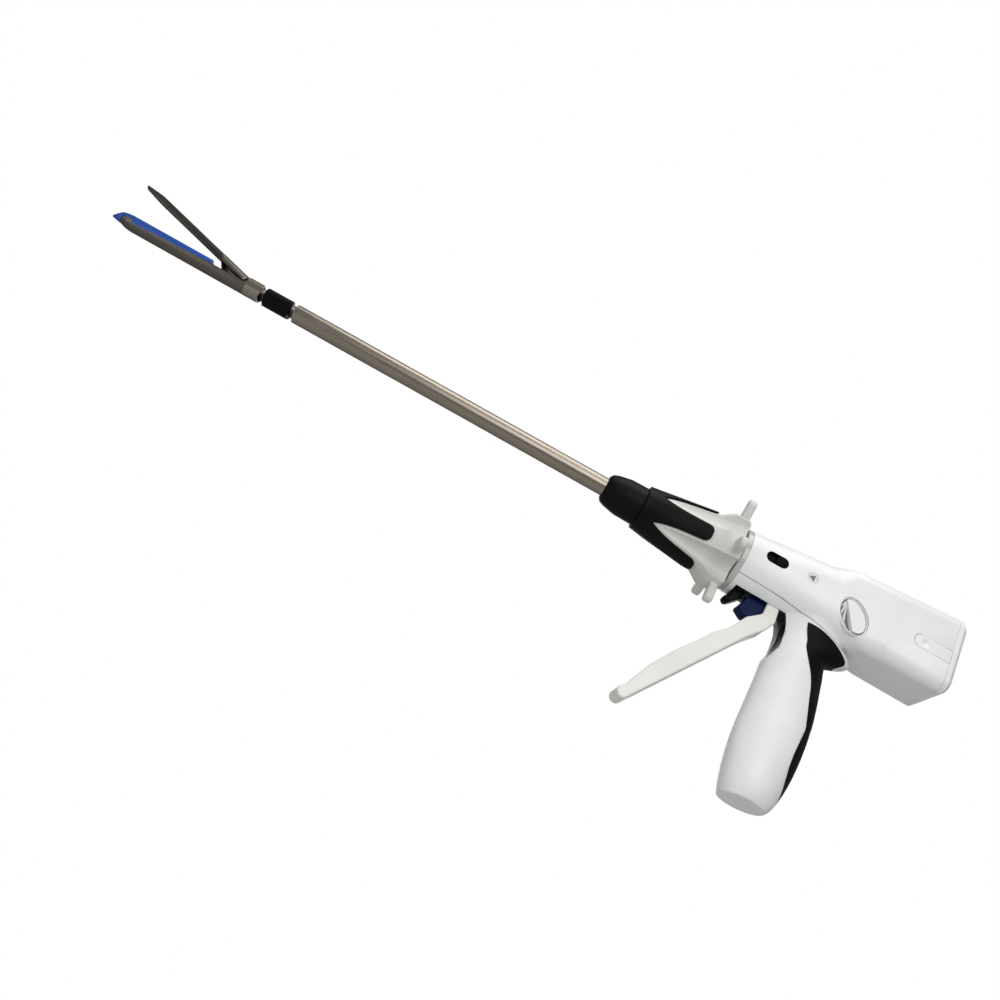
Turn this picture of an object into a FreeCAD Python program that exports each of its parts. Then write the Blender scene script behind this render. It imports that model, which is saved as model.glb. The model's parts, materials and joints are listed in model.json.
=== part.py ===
import FreeCAD, Part
import math
import os
import re
import Sketcher

# Powered endoscopic linear stapler.
# Row frame: millimetres, +X from the handle to the jaws along the shaft axis, +Y to the user's left, +Z up.
# The origin lies on the shaft axis at the front face of the turning knob, where a trocar sleeve stops.

Vector = FreeCAD.Vector
doc = FreeCAD.newDocument("powered_stapler")
sheet = doc.addObject("Spreadsheet::Sheet", "sizes")

# Driving dimensions: alias, value, meaning. Every length is in millimetres and every angle in degrees.
SIZES = [
    ("shaft_radius", 6.2, "outside of the closure tube, for a 12 mm trocar"),
    ("shaft_wall", 0.9, "wall of the closure tube"),
    ("shaft_length", 230.6, "closure tube from the knob to the neck"),
    ("spigot_step", 0.35, "step down of the tube where the knob holds it"),
    ("neck_pitch", 22, "distance between the two neck pivots"),
    ("neck_gap", 1.3, "gap from a neck pivot to the tube end, on the axis"),
    ("neck_bevel", 1.0, "extra gap at the rim, so that the neck can bend"),
    ("pin_radius", 1.1, "neck pivot pins"),
    ("link_half", 2.1, "half height of the neck link"),
    ("link_width", 7.0, "width of the neck link"),
    ("ear_width", 1.5, "thickness of one clevis ear"),
    ("plug_length", 6, "solid plug inside a tube end"),
    ("collar_length", 11, "short tube behind the jaws"),
    ("jaw_radius", 6.1, "round envelope of the closed jaws"),
    ("jaw_length", 98, "jaws from the short tube to the cartridge tip"),
    ("nose_length", 6.5, "tapered cartridge nose"),
    ("channel_taper", 8, "tapered front end of the channel"),
    ("channel_tip_radius", 4.3, "front end of the channel"),
    ("deck_height", 1.6, "cartridge deck above the axis"),
    ("tissue_gap", 1.0, "gap between the deck and the closed anvil"),
    ("channel_wall", 1.25, "wall of the cartridge channel"),
    ("channel_rim", -1.2, "top of the channel walls"),
    ("jaw_opening", 16, "angle of the anvil at rest"),
    ("anvil_pivot_x", 3.5, "anvil pivot ahead of the short tube"),
    ("anvil_pivot_z", 1.0, "anvil pivot above the axis"),
    ("anvil_root", 25, "deep rear part of the anvil"),
    ("anvil_end", 97, "anvil tip ahead of the short tube"),
    ("anvil_half", 4.1, "half width of the anvil"),
    ("anvil_thick", 2.3, "thickness of the anvil"),
    ("pocket_pitch", 3.8, "staple pitch along a row"),
    ("pocket_length", 2.6, "one staple pocket"),
    ("pocket_width", 0.55, "one staple pocket"),
    ("pocket_depth", 0.9, "one staple pocket"),
    ("row_pitch", 1.05, "distance between staple rows"),
    ("slot_half", 0.45, "half width of the knife slot"),
    ("knife_half", 0.3, "half thickness of the knife"),
    ("knob_length", 94, "turning knob from its nose to the collar"),
    ("nose_radius", 13.1, "black nose of the knob"),
    ("nose_depth", 27.5, "length of the black nose"),
    ("knob_front_radius", 15.3, "front of the fluted grip"),
    ("knob_rear_radius", 22.6, "rear of the fluted grip"),
    ("flange_radius", 26.8, "rear flange of the knob"),
    ("wing_radius", 39.5, "tip of the knob's wings"),
    ("wing_thick", 5.6, "wing along the shaft"),
    ("wing_width", 8, "wing across"),
    ("cover_wall", 1.2, "black cover over the knob"),
    ("knob_wall", 2.6, "wall of the knob"),
    ("knob_phase", 28, "turn of the first ridge from the top, towards the left"),
    ("hub_radius", 15.6, "rear hub of the knob, which turns in the collar"),
    ("fit_gap", 0.05, "running fit"),
    ("barrel_radius", 22, "round front of the housing"),
    ("barrel_front", -4.2, "front face of the housing, from the knob's rear"),
    ("barrel_end", -72, "end of the plain barrel, from the knob's rear"),
    ("flare_length", 11, "ramp from the barrel to the battery housing"),
    ("flare_lean", 0.42, "lean of the ramp, forward per unit of height"),
    ("housing_end", -147, "rear face of the housing, from the knob's rear"),
    ("housing_half", 24.6, "half width of the battery housing"),
    ("housing_top", 32, "top of the rear end"),
    ("housing_bottom", -21.8, "underside of the battery housing"),
    ("housing_corner", 8, "corner radius of the battery housing"),
    ("housing_wall", 2.2, "wall of the moulded shells"),
    ("cap_length", 6.5, "battery cap behind the housing"),
    ("cap_chamfer", 3, "chamfer of the battery cap"),
    ("battery_length", 33, "battery block inside the housing"),
    ("tongue_length", 26, "release tongue of the battery"),
    ("tongue_height", 8.6, "release tongue of the battery"),
    ("tongue_z", 1.2, "middle of the release tongue"),
    ("grip_end", -142, "flat foot of the grip"),
    ("trigger_x", -35, "pivot of both triggers, from the knob's rear"),
    ("trigger_z", -16, "pivot of both triggers"),
    ("trigger_pin_radius", 2, "pivot pin of the triggers"),
    ("trigger_half", 8.6, "half width of the closing trigger"),
    ("fork_gap", 6.7, "half gap between the fork arms"),
    ("blade_half", 5, "half width of the firing trigger"),
    ("lock_x", -12, "pivot of the trigger lock, from the knob's rear"),
    ("lock_z", -18.5, "pivot of the trigger lock"),
    ("throat_rear", -49.5, "rear of the trigger slot, from the knob's rear"),
    ("throat_front", -7.5, "front of the trigger slot, from the knob's rear"),
    ("throat_foot", -54, "foot of the trigger recess in the grip"),
    ("throat_half", 9.2, "half width of the trigger slot"),
    ("motor_radius", 11, "drive motor"),
    ("motor_length", 41, "drive motor"),
    ("gearbox_length", 17, "reduction gearbox"),
    ("motor_rear", -107, "rear end of the motor, from the knob's rear"),
    ("screw_radius", 3, "lead screw"),
    ("screw_length", 74, "lead screw ahead of the gearbox"),
    ("drive_radius", 4.4, "drive tube around the lead screw"),
    ("stroke", 58, "firing stroke"),
    ("switch_x", -22.6, "reverse switch, from the knob's rear"),
    ("switch_z", 3, "reverse switch"),
    ("switch_length", 15.6, "reverse switch window"),
    ("switch_height", 7.8, "reverse switch window"),
    ("switch_travel", 6, "reverse switch"),
    ("lamp_x", -47.6, "status lamp, from the knob's rear"),
    ("lamp_z", 4, "status lamp"),
    ("lamp_radius", 3.6, "status lamp"),
    ("release_x", -80.8, "middle of the release button, from the knob's rear"),
    ("release_z", -5.8, "middle of the release button"),
    ("release_long", 12.9, "half length of the release well"),
    ("release_short", 9.4, "half width of the release well"),
    ("release_angle", 51.5, "slope of the release well, downward to the rear"),
    ("release_gap", 0.8, "gap between the button and its well"),
    ("release_travel", 2.5, "release button each way"),
    ("bar_radius", 1.8, "bar between the release buttons"),
]

for row, (alias, value, note) in enumerate(SIZES, start=1):
    sheet.set(f"A{row}", note)
    sheet.set(f"B{row}", str(value))
    sheet.setAlias(f"B{row}", alias)
doc.recompute()
ALIASES = {alias for alias, value, note in SIZES}
FROM_KNOB = {alias for alias, value, note in SIZES if note.endswith("from the knob's rear")}
pieces = {}


def bound(text):
    """An expression on the driving dimensions, as the document wants it. Places behind the knob move with it."""
    def name(match):
        word = match[0]
        if word in FROM_KNOB:
            return f"(sizes.{word} - sizes.knob_length)"
        return f"sizes.{word}" if word in ALIASES else word

    return re.sub(r"[A-Za-z_]\w*", name, str(text))


def size(text):
    """The value of an expression on the driving dimensions."""
    names = {alias: float(sheet.get(alias)) for alias in ALIASES}
    names.update({alias: names[alias] - names["knob_length"] for alias in FROM_KNOB})
    names.update(sqrt=math.sqrt, cos=lambda a: math.cos(math.radians(a)), sin=lambda a: math.sin(math.radians(a)))
    return work_out(str(text), names)


def work_out(text, names):
    """Works out a sum of products, with names, brackets and the functions given."""
    tokens = re.findall(r"\d+\.?\d*|[A-Za-z_]\w*|[-+*/()]", text)
    place = 0

    def peek():
        return tokens[place] if place < len(tokens) else ""

    def take():
        nonlocal place
        place += 1
        return tokens[place - 1]

    def atom():
        token = take()
        if token == "-":
            return -atom()
        if token == "(":
            value = total()
            take()
            return value
        if token[0].isdigit():
            return float(token)
        if callable(names[token]):
            take()
            value = names[token](total())
            take()
            return value
        return names[token]

    def product():
        value = atom()
        while peek() in ("*", "/"):
            value = value * atom() if take() == "*" else value / atom()
        return value

    def total():
        value = product()
        while peek() in ("+", "-"):
            value = value + product() if take() == "+" else value - product()
        return value

    return total()


def bind(target, **expressions):
    """Binds properties of an object to expressions, with a dot written as two underscores."""
    for name, text in expressions.items():
        target.setExpression(name.replace("__", "."), bound(text))
    return target


def place(target, x=0, y=0, z=0):
    """Puts an object at a point given by expressions."""
    for axis, text in zip("xyz", (x, y, z)):
        target.setExpression(f"Placement.Base.{axis}", bound(text))
    return target


def block(name, x, y, z):
    """A box between pairs of expressions along each axis."""
    box = doc.addObject("Part::Box", name)
    for key, (low, high) in zip(("Length", "Width", "Height"), (x, y, z)):
        box.setExpression(key, bound(f"({high}) - ({low})"))
    return place(box, x[0], y[0], z[0])


AXES = {"x": Vector(1, 0, 0), "y": Vector(0, 1, 0), "z": Vector(0, 0, 1)}


def rod(name, axis, radius, low, high, a=0, b=0):
    """A cylinder along an axis from low to high. The other two coordinates are a and b, in order."""
    bar = bind(doc.addObject("Part::Cylinder", name), Radius=radius, Height=f"({high}) - ({low})")
    bar.Placement.Rotation = FreeCAD.Rotation(AXES["z"], AXES[axis])
    others = [a, b]
    others.insert("xyz".index(axis), low)
    return place(bar, *others)


def joined(name, *parts):
    """One solid of several that touch."""
    result = doc.addObject("Part::MultiFuse", name)
    result.Shapes = list(parts)
    return result


def without(name, base, *tools):
    """A solid less others."""
    result = doc.addObject("Part::Cut", name)
    result.Base = base
    result.Tool = tools[0] if len(tools) == 1 else joined(name + "_tools", *tools)
    return result


def within(name, *parts):
    """What several solids share."""
    result = doc.addObject("Part::MultiCommon", name)
    result.Shapes = list(parts)
    return result


def keep(node, target):
    """Names a finished sub-part."""
    target.Label = node
    pieces[node] = target
    return target


def origin_plane(body, role):
    """One of a body's own planes."""
    return next(f for f in body.Origin.OriginFeatures if f.Role == role)


def outline(body, role, corners):
    """A closed sketch of straight edges whose corners are pairs of expressions."""
    sketch = body.newObject("Sketcher::SketchObject", body.Name + "_outline")
    sketch.AttachmentSupport = [(origin_plane(body, role), "")]
    sketch.MapMode = "FlatFace"
    points = [Vector(size(x), size(y), 0) for x, y in corners]
    count = len(points)
    for i in range(count):
        sketch.addGeometry(Part.LineSegment(points[i], points[(i + 1) % count]), False)
    for i in range(count):
        sketch.addConstraint(Sketcher.Constraint("Coincident", i, 2, (i + 1) % count, 1))
    for i, (x, y) in enumerate(corners):
        for kind, text, value in (("DistanceX", x, points[i].x), ("DistanceY", y, points[i].y)):
            row = sketch.addConstraint(Sketcher.Constraint(kind, -1, 1, i, 1, value))
            sketch.setExpression(f"Constraints[{row}]", bound(text))
    return sketch


def turned(name, corners):
    """A body turned about the shaft axis. Corners are (x, radius) pairs."""
    body = doc.addObject("PartDesign::Body", name)
    sketch = outline(body, "XZ_Plane", corners)
    turn = body.newObject("PartDesign::Revolution", name + "_turn")
    turn.Profile = sketch
    turn.ReferenceAxis = (sketch, ["H_Axis"])
    turn.Angle = 360
    return body


def cut_plate(name, corners, width):
    """A body of one outline in the XZ plane, as wide as given and centred on the middle plane."""
    body = doc.addObject("PartDesign::Body", name)
    sketch = outline(body, "XZ_Plane", corners)
    pad = body.newObject("PartDesign::Pad", name + "_pad")
    pad.Profile = sketch
    pad.Midplane = True
    pad.setExpression("Length", bound(width))
    return body


def rounded(name, base, radius, wanted):
    """Rounds the edges of a base whose middle point passes the test."""
    doc.recompute()
    result = doc.addObject("Part::Fillet", name)
    result.Base = base
    edges = []
    for number, edge in enumerate(base.Shape.Edges, start=1):
        middle = edge.valueAt((edge.FirstParameter + edge.LastParameter) / 2)
        if wanted(middle, edge):
            edges.append((number, size(radius), size(radius)))
    result.Edges = edges
    return result


def smoothed(name, base, corner, rim):
    """Rounds the corners of a plate that run across the handle, then the rims of its two faces."""
    def crosses(edge):
        line = isinstance(edge.Curve, Part.Line)
        return line and abs(edge.Curve.Direction.y) > 0.99

    outer = rounded(name + "_corners", base, corner, lambda middle, edge: crosses(edge))
    return rounded(name, outer, rim, lambda middle, edge: not crosses(edge))


def made(name, shape):
    """A feature whose shape is worked out from the sheet."""
    feature = doc.addObject("Part::Feature", name)
    feature.Shape = shape
    return feature


# Neck stations along the shaft
NEAR = "(shaft_length + neck_gap)"
FAR = "(shaft_length + neck_gap + neck_pitch)"
JAW = "(shaft_length + 2*neck_gap + neck_pitch + collar_length)"


def bevel_cone(name, end, towards):
    """A ring-shaped cutter that bevels a tube end, wider at the top and the foot."""
    half = "(shaft_radius + 1)"
    sides = []
    for sign in ("", "-"):
        corners = [
            (end, f"{sign}link_half"),
            (f"{end} + {towards}*neck_bevel", f"{sign}{half}"),
            (f"{end} - {towards}*neck_gap", f"{sign}{half}"),
            (f"{end} - {towards}*neck_gap", f"{sign}link_half"),
        ]
        sides.append(cut_plate(f"{name}_{'up' if sign == '' else 'down'}", corners, f"2*{half}"))
    return joined(name, *sides)


def clevis(name, pivot, towards):
    """A plug in a tube end, with two ears that hold a pivot pin. towards is +1 if the ears point to the jaws."""
    face = f"({pivot} - {towards}*(link_half + 0.4))"
    back = f"({face} - {towards}*plug_length)"
    low, high = (back, face) if towards == "1" else (face, back)
    plug = rod(name + "_plug", "x", "shaft_radius - shaft_wall - fit_gap", low, high)
    ears = []
    for side in ("1", "-1"):
        inner = f"{side}*(link_width/2 + 0.1)"
        outer = f"{side}*(link_width/2 + 0.1 + ear_width)"
        y = (inner, outer) if side == "1" else (outer, inner)
        x = (face, pivot) if towards == "1" else (pivot, face)
        bar = block(f"{name}_ear{side[0]}", x, y, ("-link_half", "link_half"))
        tip = rod(f"{name}_tip{side[0]}", "y", "link_half", y[0], y[1], pivot, 0)
        ears += [bar, tip]
    bore_fit = "(shaft_radius - shaft_wall - fit_gap)"
    limit = rod(name + "_limit", "x", bore_fit, f"{pivot} - plug_length - 4", f"{pivot} + plug_length + 4")
    body = within(name + "_body", joined(name + "_whole", plug, *ears), limit)
    reach = "(shaft_radius)"
    bore = rod(name + "_bore", "y", "pin_radius", f"-{reach}", reach, pivot, 0)
    return without(name, body, bore)


def shaft():
    """Closure tube with its clevis and the first neck pin."""
    tube = turned("shaft_profile", [
        ("0", "shaft_radius - shaft_wall"),
        ("0", "shaft_radius"),
        ("shaft_length", "shaft_radius"),
        ("shaft_length", "shaft_radius - shaft_wall"),
    ])
    spigot = turned("spigot_profile", [
        ("-knob_length + 6", "shaft_radius - shaft_wall"),
        ("-knob_length + 6", "shaft_radius - spigot_step"),
        ("0", "shaft_radius - spigot_step"),
        ("0", "shaft_radius - shaft_wall"),
    ])
    whole = joined("shaft_whole", tube, spigot)
    keep("shaft_tube", without("shaft_end", whole, bevel_cone("shaft_bevel", "shaft_length", "-1")))
    keep("shaft_clevis", clevis("shaft_fork", NEAR, "1"))
    half = "(link_width/2 + 0.1 + ear_width)"
    keep("shaft_pivot_pin", rod("near_pin", "y", "pin_radius", f"-{half}", half, NEAR, 0))


def neck():
    """The bending neck: a flat link between two pivots, inside a black sleeve."""
    bar = block("link_bar", (NEAR, FAR), ("-link_width/2", "link_width/2"), ("-link_half", "link_half"))
    ends, bores, reliefs = [], [], []
    for number, pivot in enumerate((NEAR, FAR)):
        ends.append(rod(f"link_end{number}", "y", "link_half", "-link_width/2", "link_width/2", pivot, 0))
        bores.append(rod(f"link_bore{number}", "y", "pin_radius + fit_gap", "-link_width", "link_width", pivot, 0))
        reach = "(link_width/2 + ear_width + 0.3)"
        reliefs.append(rod(f"sleeve_relief{number}", "y", "link_half + 0.35", f"-{reach}", reach, pivot, 0))
    keep("neck_link", without("link_bored", joined("link_whole", bar, *ends), *bores))
    sleeve = rod("sleeve_round", "x", "shaft_radius", f"{NEAR} + neck_gap", f"{FAR} - neck_gap")
    slot = block("sleeve_slot", (NEAR, FAR), ("-link_width/2", "link_width/2"), ("-link_half", "link_half"))
    bevels = [
        bevel_cone("sleeve_near", f"({NEAR} + neck_gap)", "1"),
        bevel_cone("sleeve_far", f"({FAR} - neck_gap)", "-1"),
    ]
    keep("neck_sleeve", without("sleeve_cut", sleeve, slot, *reliefs, *bevels))


def jaw_base():
    """Short tube, its clevis and pin, the cartridge channel and the cartridge."""
    tube = turned("short_profile", [
        (f"{FAR} + neck_gap", "shaft_radius - shaft_wall"),
        (f"{FAR} + neck_gap", "shaft_radius"),
        (JAW, "shaft_radius"),
        (JAW, "shaft_radius - shaft_wall"),
    ])
    keep("jaw_collar", without("short_end", tube, bevel_cone("short_bevel", f"({FAR} + neck_gap)", "1")))
    keep("jaw_clevis", clevis("jaw_fork", FAR, "-1"))
    half = "(link_width/2 + 0.1 + ear_width)"
    keep("jaw_pivot_pin", rod("far_pin", "y", "pin_radius", f"-{half}", half, FAR, 0))
    channel()
    cartridge()


def channel():
    """U-shaped steel channel of the lower jaw, with ears that carry the anvil pin."""
    end = f"({JAW} + jaw_length - nose_length)"
    round_bar = turned("channel_profile", [
        (JAW, "0"), (JAW, "jaw_radius"), (f"{end} - channel_taper", "jaw_radius"),
        (f"{end} - channel_taper/2", "jaw_radius - 0.45"), (end, "channel_tip_radius"), (end, "0"),
    ])
    below = block("channel_below", (JAW, end), ("-jaw_radius", "jaw_radius"), ("-jaw_radius", "channel_rim"))
    inner = "(jaw_radius - channel_wall)"
    bed = f"({JAW} + 6)"
    pocket = rod("channel_pocket", "x", inner, bed, f"{end} - channel_taper")
    root = within("channel_half", round_bar, below)
    ears = [
        block("channel_ear_left", (JAW, f"{JAW} + 7.5"), ("3.0", "4.4"), ("-2.5", "2.7")),
        block("channel_ear_right", (JAW, f"{JAW} + 7.5"), ("-4.4", "-3.0"), ("-2.5", "2.7")),
    ]
    ear_limit = rod("ear_limit", "x", "jaw_radius - 1.75", JAW, f"{JAW} + 7.5")
    ears = [within(f"ear_round{number}", ear, ear_limit) for number, ear in enumerate(ears)]
    hole = rod("anvil_hole", "y", "pin_radius", "-jaw_radius", "jaw_radius",
               f"{JAW} + anvil_pivot_x", "anvil_pivot_z")
    keep("cartridge_channel", without("channel", joined("channel_whole", without("channel_u", root, pocket), *ears), hole))
    reach = "(jaw_radius - 0.35)"
    keep("anvil_pin", rod("anvil_pin_rod", "y", "pin_radius", f"-{reach}", reach,
                          f"{JAW} + anvil_pivot_x", "anvil_pivot_z"))


POCKETS = 14


def pocket_rows(name, first, count, low, high):
    """Staggered staple pockets on both sides of the knife slot, between two heights."""
    shapes = []
    pitch, length, width = size("pocket_pitch"), size("pocket_length"), size("pocket_width")
    for row in range(3):
        y = size("slot_half + 0.65") + row * size("row_pitch")
        start = first + (pitch / 2 if row == 1 else 0)
        for number in range(count - (row == 1)):
            for side in (1, -1):
                corner = Vector(start + number * pitch, side * y - width / 2, low)
                shapes.append(Part.makeBox(length, width, high - low, corner))
    return made(name, Part.makeCompound(shapes))


def cartridge():
    """Blue staple cartridge that sits in the channel, with its ledges, knife slot, pockets and nose."""
    inner = "(jaw_radius - channel_wall - 0.1)"
    end = f"({JAW} + jaw_length - nose_length)"
    start = f"({JAW} + 12)"
    front = f"({end} - channel_taper)"
    core = block("cartridge_core", (start, front), (f"-{inner}", inner), ("-3.9", "channel_rim + 0.5"))
    envelope = turned("cartridge_profile", [
        (start, "0"), (start, "jaw_radius - 0.1"), (front, "jaw_radius - 0.1"),
        (f"{front} + channel_taper/2", "jaw_radius - 0.55"), (end, "channel_tip_radius - 0.1"), (end, "0"),
    ])
    ledge = block("cartridge_ledge", (f"{JAW} + anvil_root + 0.7", end), ("-jaw_radius", "jaw_radius"),
                  ("channel_rim + 0.05", "deck_height"))
    deck = within("cartridge_deck", ledge, envelope)
    core_round = within("cartridge_core_round", core, rod("core_round", "x", inner, start, front))
    tip = made("cartridge_nose", nose_shape())
    body = joined("cartridge_body", core_round, deck, tip)
    slot = block("knife_slot", (f"{start} - 1", f"{front} - 1"), ("-slot_half", "slot_half"), ("-4", "deck_height + 1"))
    pockets = pocket_rows("pockets", size(f"{JAW} + anvil_root + 2.5"), POCKETS, size("deck_height - pocket_depth"),
                          size("deck_height + 1"))
    keep("staple_cartridge", without("cartridge", body, slot, pockets))


def nose_shape():
    """Tapered nose of the cartridge, from the deck's section to a blunt tip below the axis."""
    end = size(f"({JAW} + jaw_length - nose_length)")
    radius = size("channel_tip_radius - 0.1")
    stations = [(0, radius, 0), (0.3, 0.82 * radius, -0.7), (0.65, 0.5 * radius, -1.6), (0.9, 0.24 * radius, -2.4),
                (1, 0.1 * radius, -2.7)]
    wires = []
    for share, half, drop in stations:
        centre = Vector(end + share * size("nose_length"), 0, drop)
        wires.append(Part.Wire(Part.makeCircle(half, centre, Vector(1, 0, 0))))
    body = Part.makeLoft(wires, True, True)
    over = Part.makeBox(size("nose_length") + 2, 4 * radius, 4 * radius, Vector(end - 1, -2 * radius, size("deck_height")))
    return body.cut(over)


def room_length(start, end):
    """Length of the anvil's full-width root, short of the notch."""
    return end - start - 2.5


def anvil():
    """Upper jaw, made closed and then swung open about its pin."""
    hinge = Vector(size(f"{JAW} + anvil_pivot_x"), 0, size("anvil_pivot_z"))
    jaw, radius = size(JAW), size("jaw_radius")
    root_start, root_end, tip = jaw + 2.2, jaw + size("anvil_root"), jaw + size("anvil_end")
    face = size("deck_height + tissue_gap")
    skirt = -0.35
    bar = Part.makeCylinder(radius, tip - root_start, Vector(root_start, 0, 0), Vector(1, 0, 0))
    wide = 4 * radius
    root = bar.common(Part.makeBox(root_end - root_start, wide, wide, Vector(root_start, -wide / 2, skirt)))
    half, thick = size("anvil_half"), size("anvil_thick")
    blade = bar.common(Part.makeBox(tip - root_start, 2 * half, thick, Vector(root_start, -half, face)))
    shoulder = Part.makeBox(room_length(root_start, root_end), wide, wide, Vector(root_start, -wide / 2, face))
    blade = blade.fuse(bar.common(shoulder))
    room = root_end - root_start - 2
    hollow = Part.makeCylinder(radius - 1.15, room, Vector(root_start - 1, 0, 0), Vector(1, 0, 0))
    under = Part.makeBox(room, wide, face + 2.2 - skirt + 1, Vector(root_start - 1, -wide / 2, skirt - 1))
    notch = Part.makeCylinder(2.2, wide, Vector(root_end, -wide / 2, face - 2.2), Vector(0, 1, 0))
    body = root.fuse(blade).cut(hollow.common(under)).cut(notch)
    # The tip narrows in plan and slopes down at the front.
    plan = [Vector(tip - 14, -half, -1), Vector(tip + 1, -half, -1), Vector(tip + 1, -half * 0.4, -1)]
    side = Part.Face(Part.makePolygon(plan + plan[:1])).extrude(Vector(0, 0, wide))
    body = body.cut(side).cut(side.mirror(Vector(0, 0, 0), Vector(0, 1, 0)))
    slope = [Vector(tip - 16, -wide, face + thick), Vector(tip + 1, -wide, face + thick), Vector(tip + 1, -wide, face + 1)]
    body = body.cut(Part.Face(Part.makePolygon(slope + slope[:1])).extrude(Vector(0, 2 * wide, 0)))
    slot = Part.makeBox(tip - root_end - 6, 1.1, 1.6, Vector(root_end - 1, -0.55, face - 0.5))
    body = body.cut(slot)
    first = jaw + size("anvil_root + 2.5")
    for row in range(3):
        y = size("slot_half + 0.65") + row * size("row_pitch")
        start = first + (size("pocket_pitch") / 2 if row == 1 else 0)
        dents = []
        for number in range(POCKETS - (row == 1)):
            for side_sign in (1, -1):
                corner = Vector(start + number * size("pocket_pitch"), side_sign * y - size("pocket_width") / 2, face - 1)
                dents.append(Part.makeBox(size("pocket_length"), size("pocket_width"), 1.35, corner))
        body = body.cut(Part.makeCompound(dents))
    bore = Part.makeCylinder(size("pin_radius + fit_gap"), wide, hinge - Vector(0, wide / 2, 0), Vector(0, 1, 0))
    body = body.cut(bore).removeSplitter()
    feature = made("anvil_shape", body)
    feature.Placement = FreeCAD.Placement(Vector(0, 0, 0), FreeCAD.Rotation(Vector(0, 1, 0), -size("jaw_opening")), hinge)
    keep("anvil", feature)


def knife():
    """Knife at its home place in the slot, with a raked cutting edge."""
    x = f"({JAW} + 14)"
    keep("knife", cut_plate("knife_blade", [
        (x, "-3.6"), (x, "deck_height + 0.3"), (f"{x} + 3.4", "deck_height + 0.5"),
        (f"{x} + 5", "deck_height - 1.6"), (f"{x} + 6.2", "-3.6"),
    ], "2*knife_half"))


def around(count, phase, shape):
    """Copies of a shape turned about the shaft axis."""
    copies = []
    for number in range(count):
        copy = shape.copy()
        copy.rotate(Vector(0, 0, 0), Vector(1, 0, 0), -(phase + 360 * number / count))
        copies.append(copy)
    return copies


RIDGES = 5


def valley_shape():
    """Scoop between two ridges of the knob, deeper towards the rear."""
    front, rear = -size("nose_depth") - 8, -size("knob_length") - 4
    wires = []
    for share, half, lift in ((0, 0.6, 17.1), (0.3, 4.0, 20.2), (0.65, 7.4, 24.4), (1, 10, 29.4)):
        centre = Vector(front + share * (rear - front), 0, lift)
        wires.append(Part.Wire(Part.makeCircle(half, centre, Vector(1, 0, 0))))
    return Part.makeLoft(wires, True)


def knob():
    """Fluted turning knob with wings, and its black cover with a nose and fingers."""
    hub_end = "-knob_length - 9"
    body = turned("knob_profile", [
        ("-nose_depth", "shaft_radius - spigot_step"),
        ("-nose_depth", "knob_front_radius - cover_wall"),
        ("-knob_length + 19", "knob_rear_radius - cover_wall"),
        ("-knob_length + 11", "flange_radius"),
        ("-knob_length + 1.5", "flange_radius"),
        ("-knob_length + 0.4", "flange_radius - 1.5"),
        ("-knob_length + 0.4", "hub_radius"),
        (hub_end, "hub_radius"),
        (hub_end, "hub_radius - knob_wall"),
        ("-knob_length + 8", "hub_radius - knob_wall"),
        ("-knob_length + 8", "shaft_radius - spigot_step"),
    ])
    doc.recompute()
    phase = size("knob_phase")
    half_turn = 180 / RIDGES
    shape = body.Shape.copy()
    for scoop in around(RIDGES, phase + half_turn, valley_shape()):
        shape = shape.cut(scoop)
    wing = wing_shape()
    for copy in around(RIDGES, phase, wing):
        shape = shape.fuse(copy)
    keep("turning_knob", made("knob_body", shape.removeSplitter()))
    cover(phase)


def wing_shape():
    """One wing: a paddle with a round tip that stands on the rear flange."""
    tip, width, thick = size("wing_radius"), size("wing_width"), size("wing_thick")
    x = -size("knob_length") + 2.2
    base = size("hub_radius + 3")
    plate = Part.makeBox(thick, width, tip - width / 2 - base, Vector(x, -width / 2, base))
    end = Part.makeCylinder(width / 2, thick, Vector(x, 0, tip - width / 2), Vector(1, 0, 0))
    paddle = plate.fuse(end).removeSplitter()
    rims = [edge for edge in paddle.Edges if edge.BoundBox.XLength < 0.01 and edge.BoundBox.ZMax > base + 1]
    return paddle.makeFillet(1.5, rims)


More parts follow.
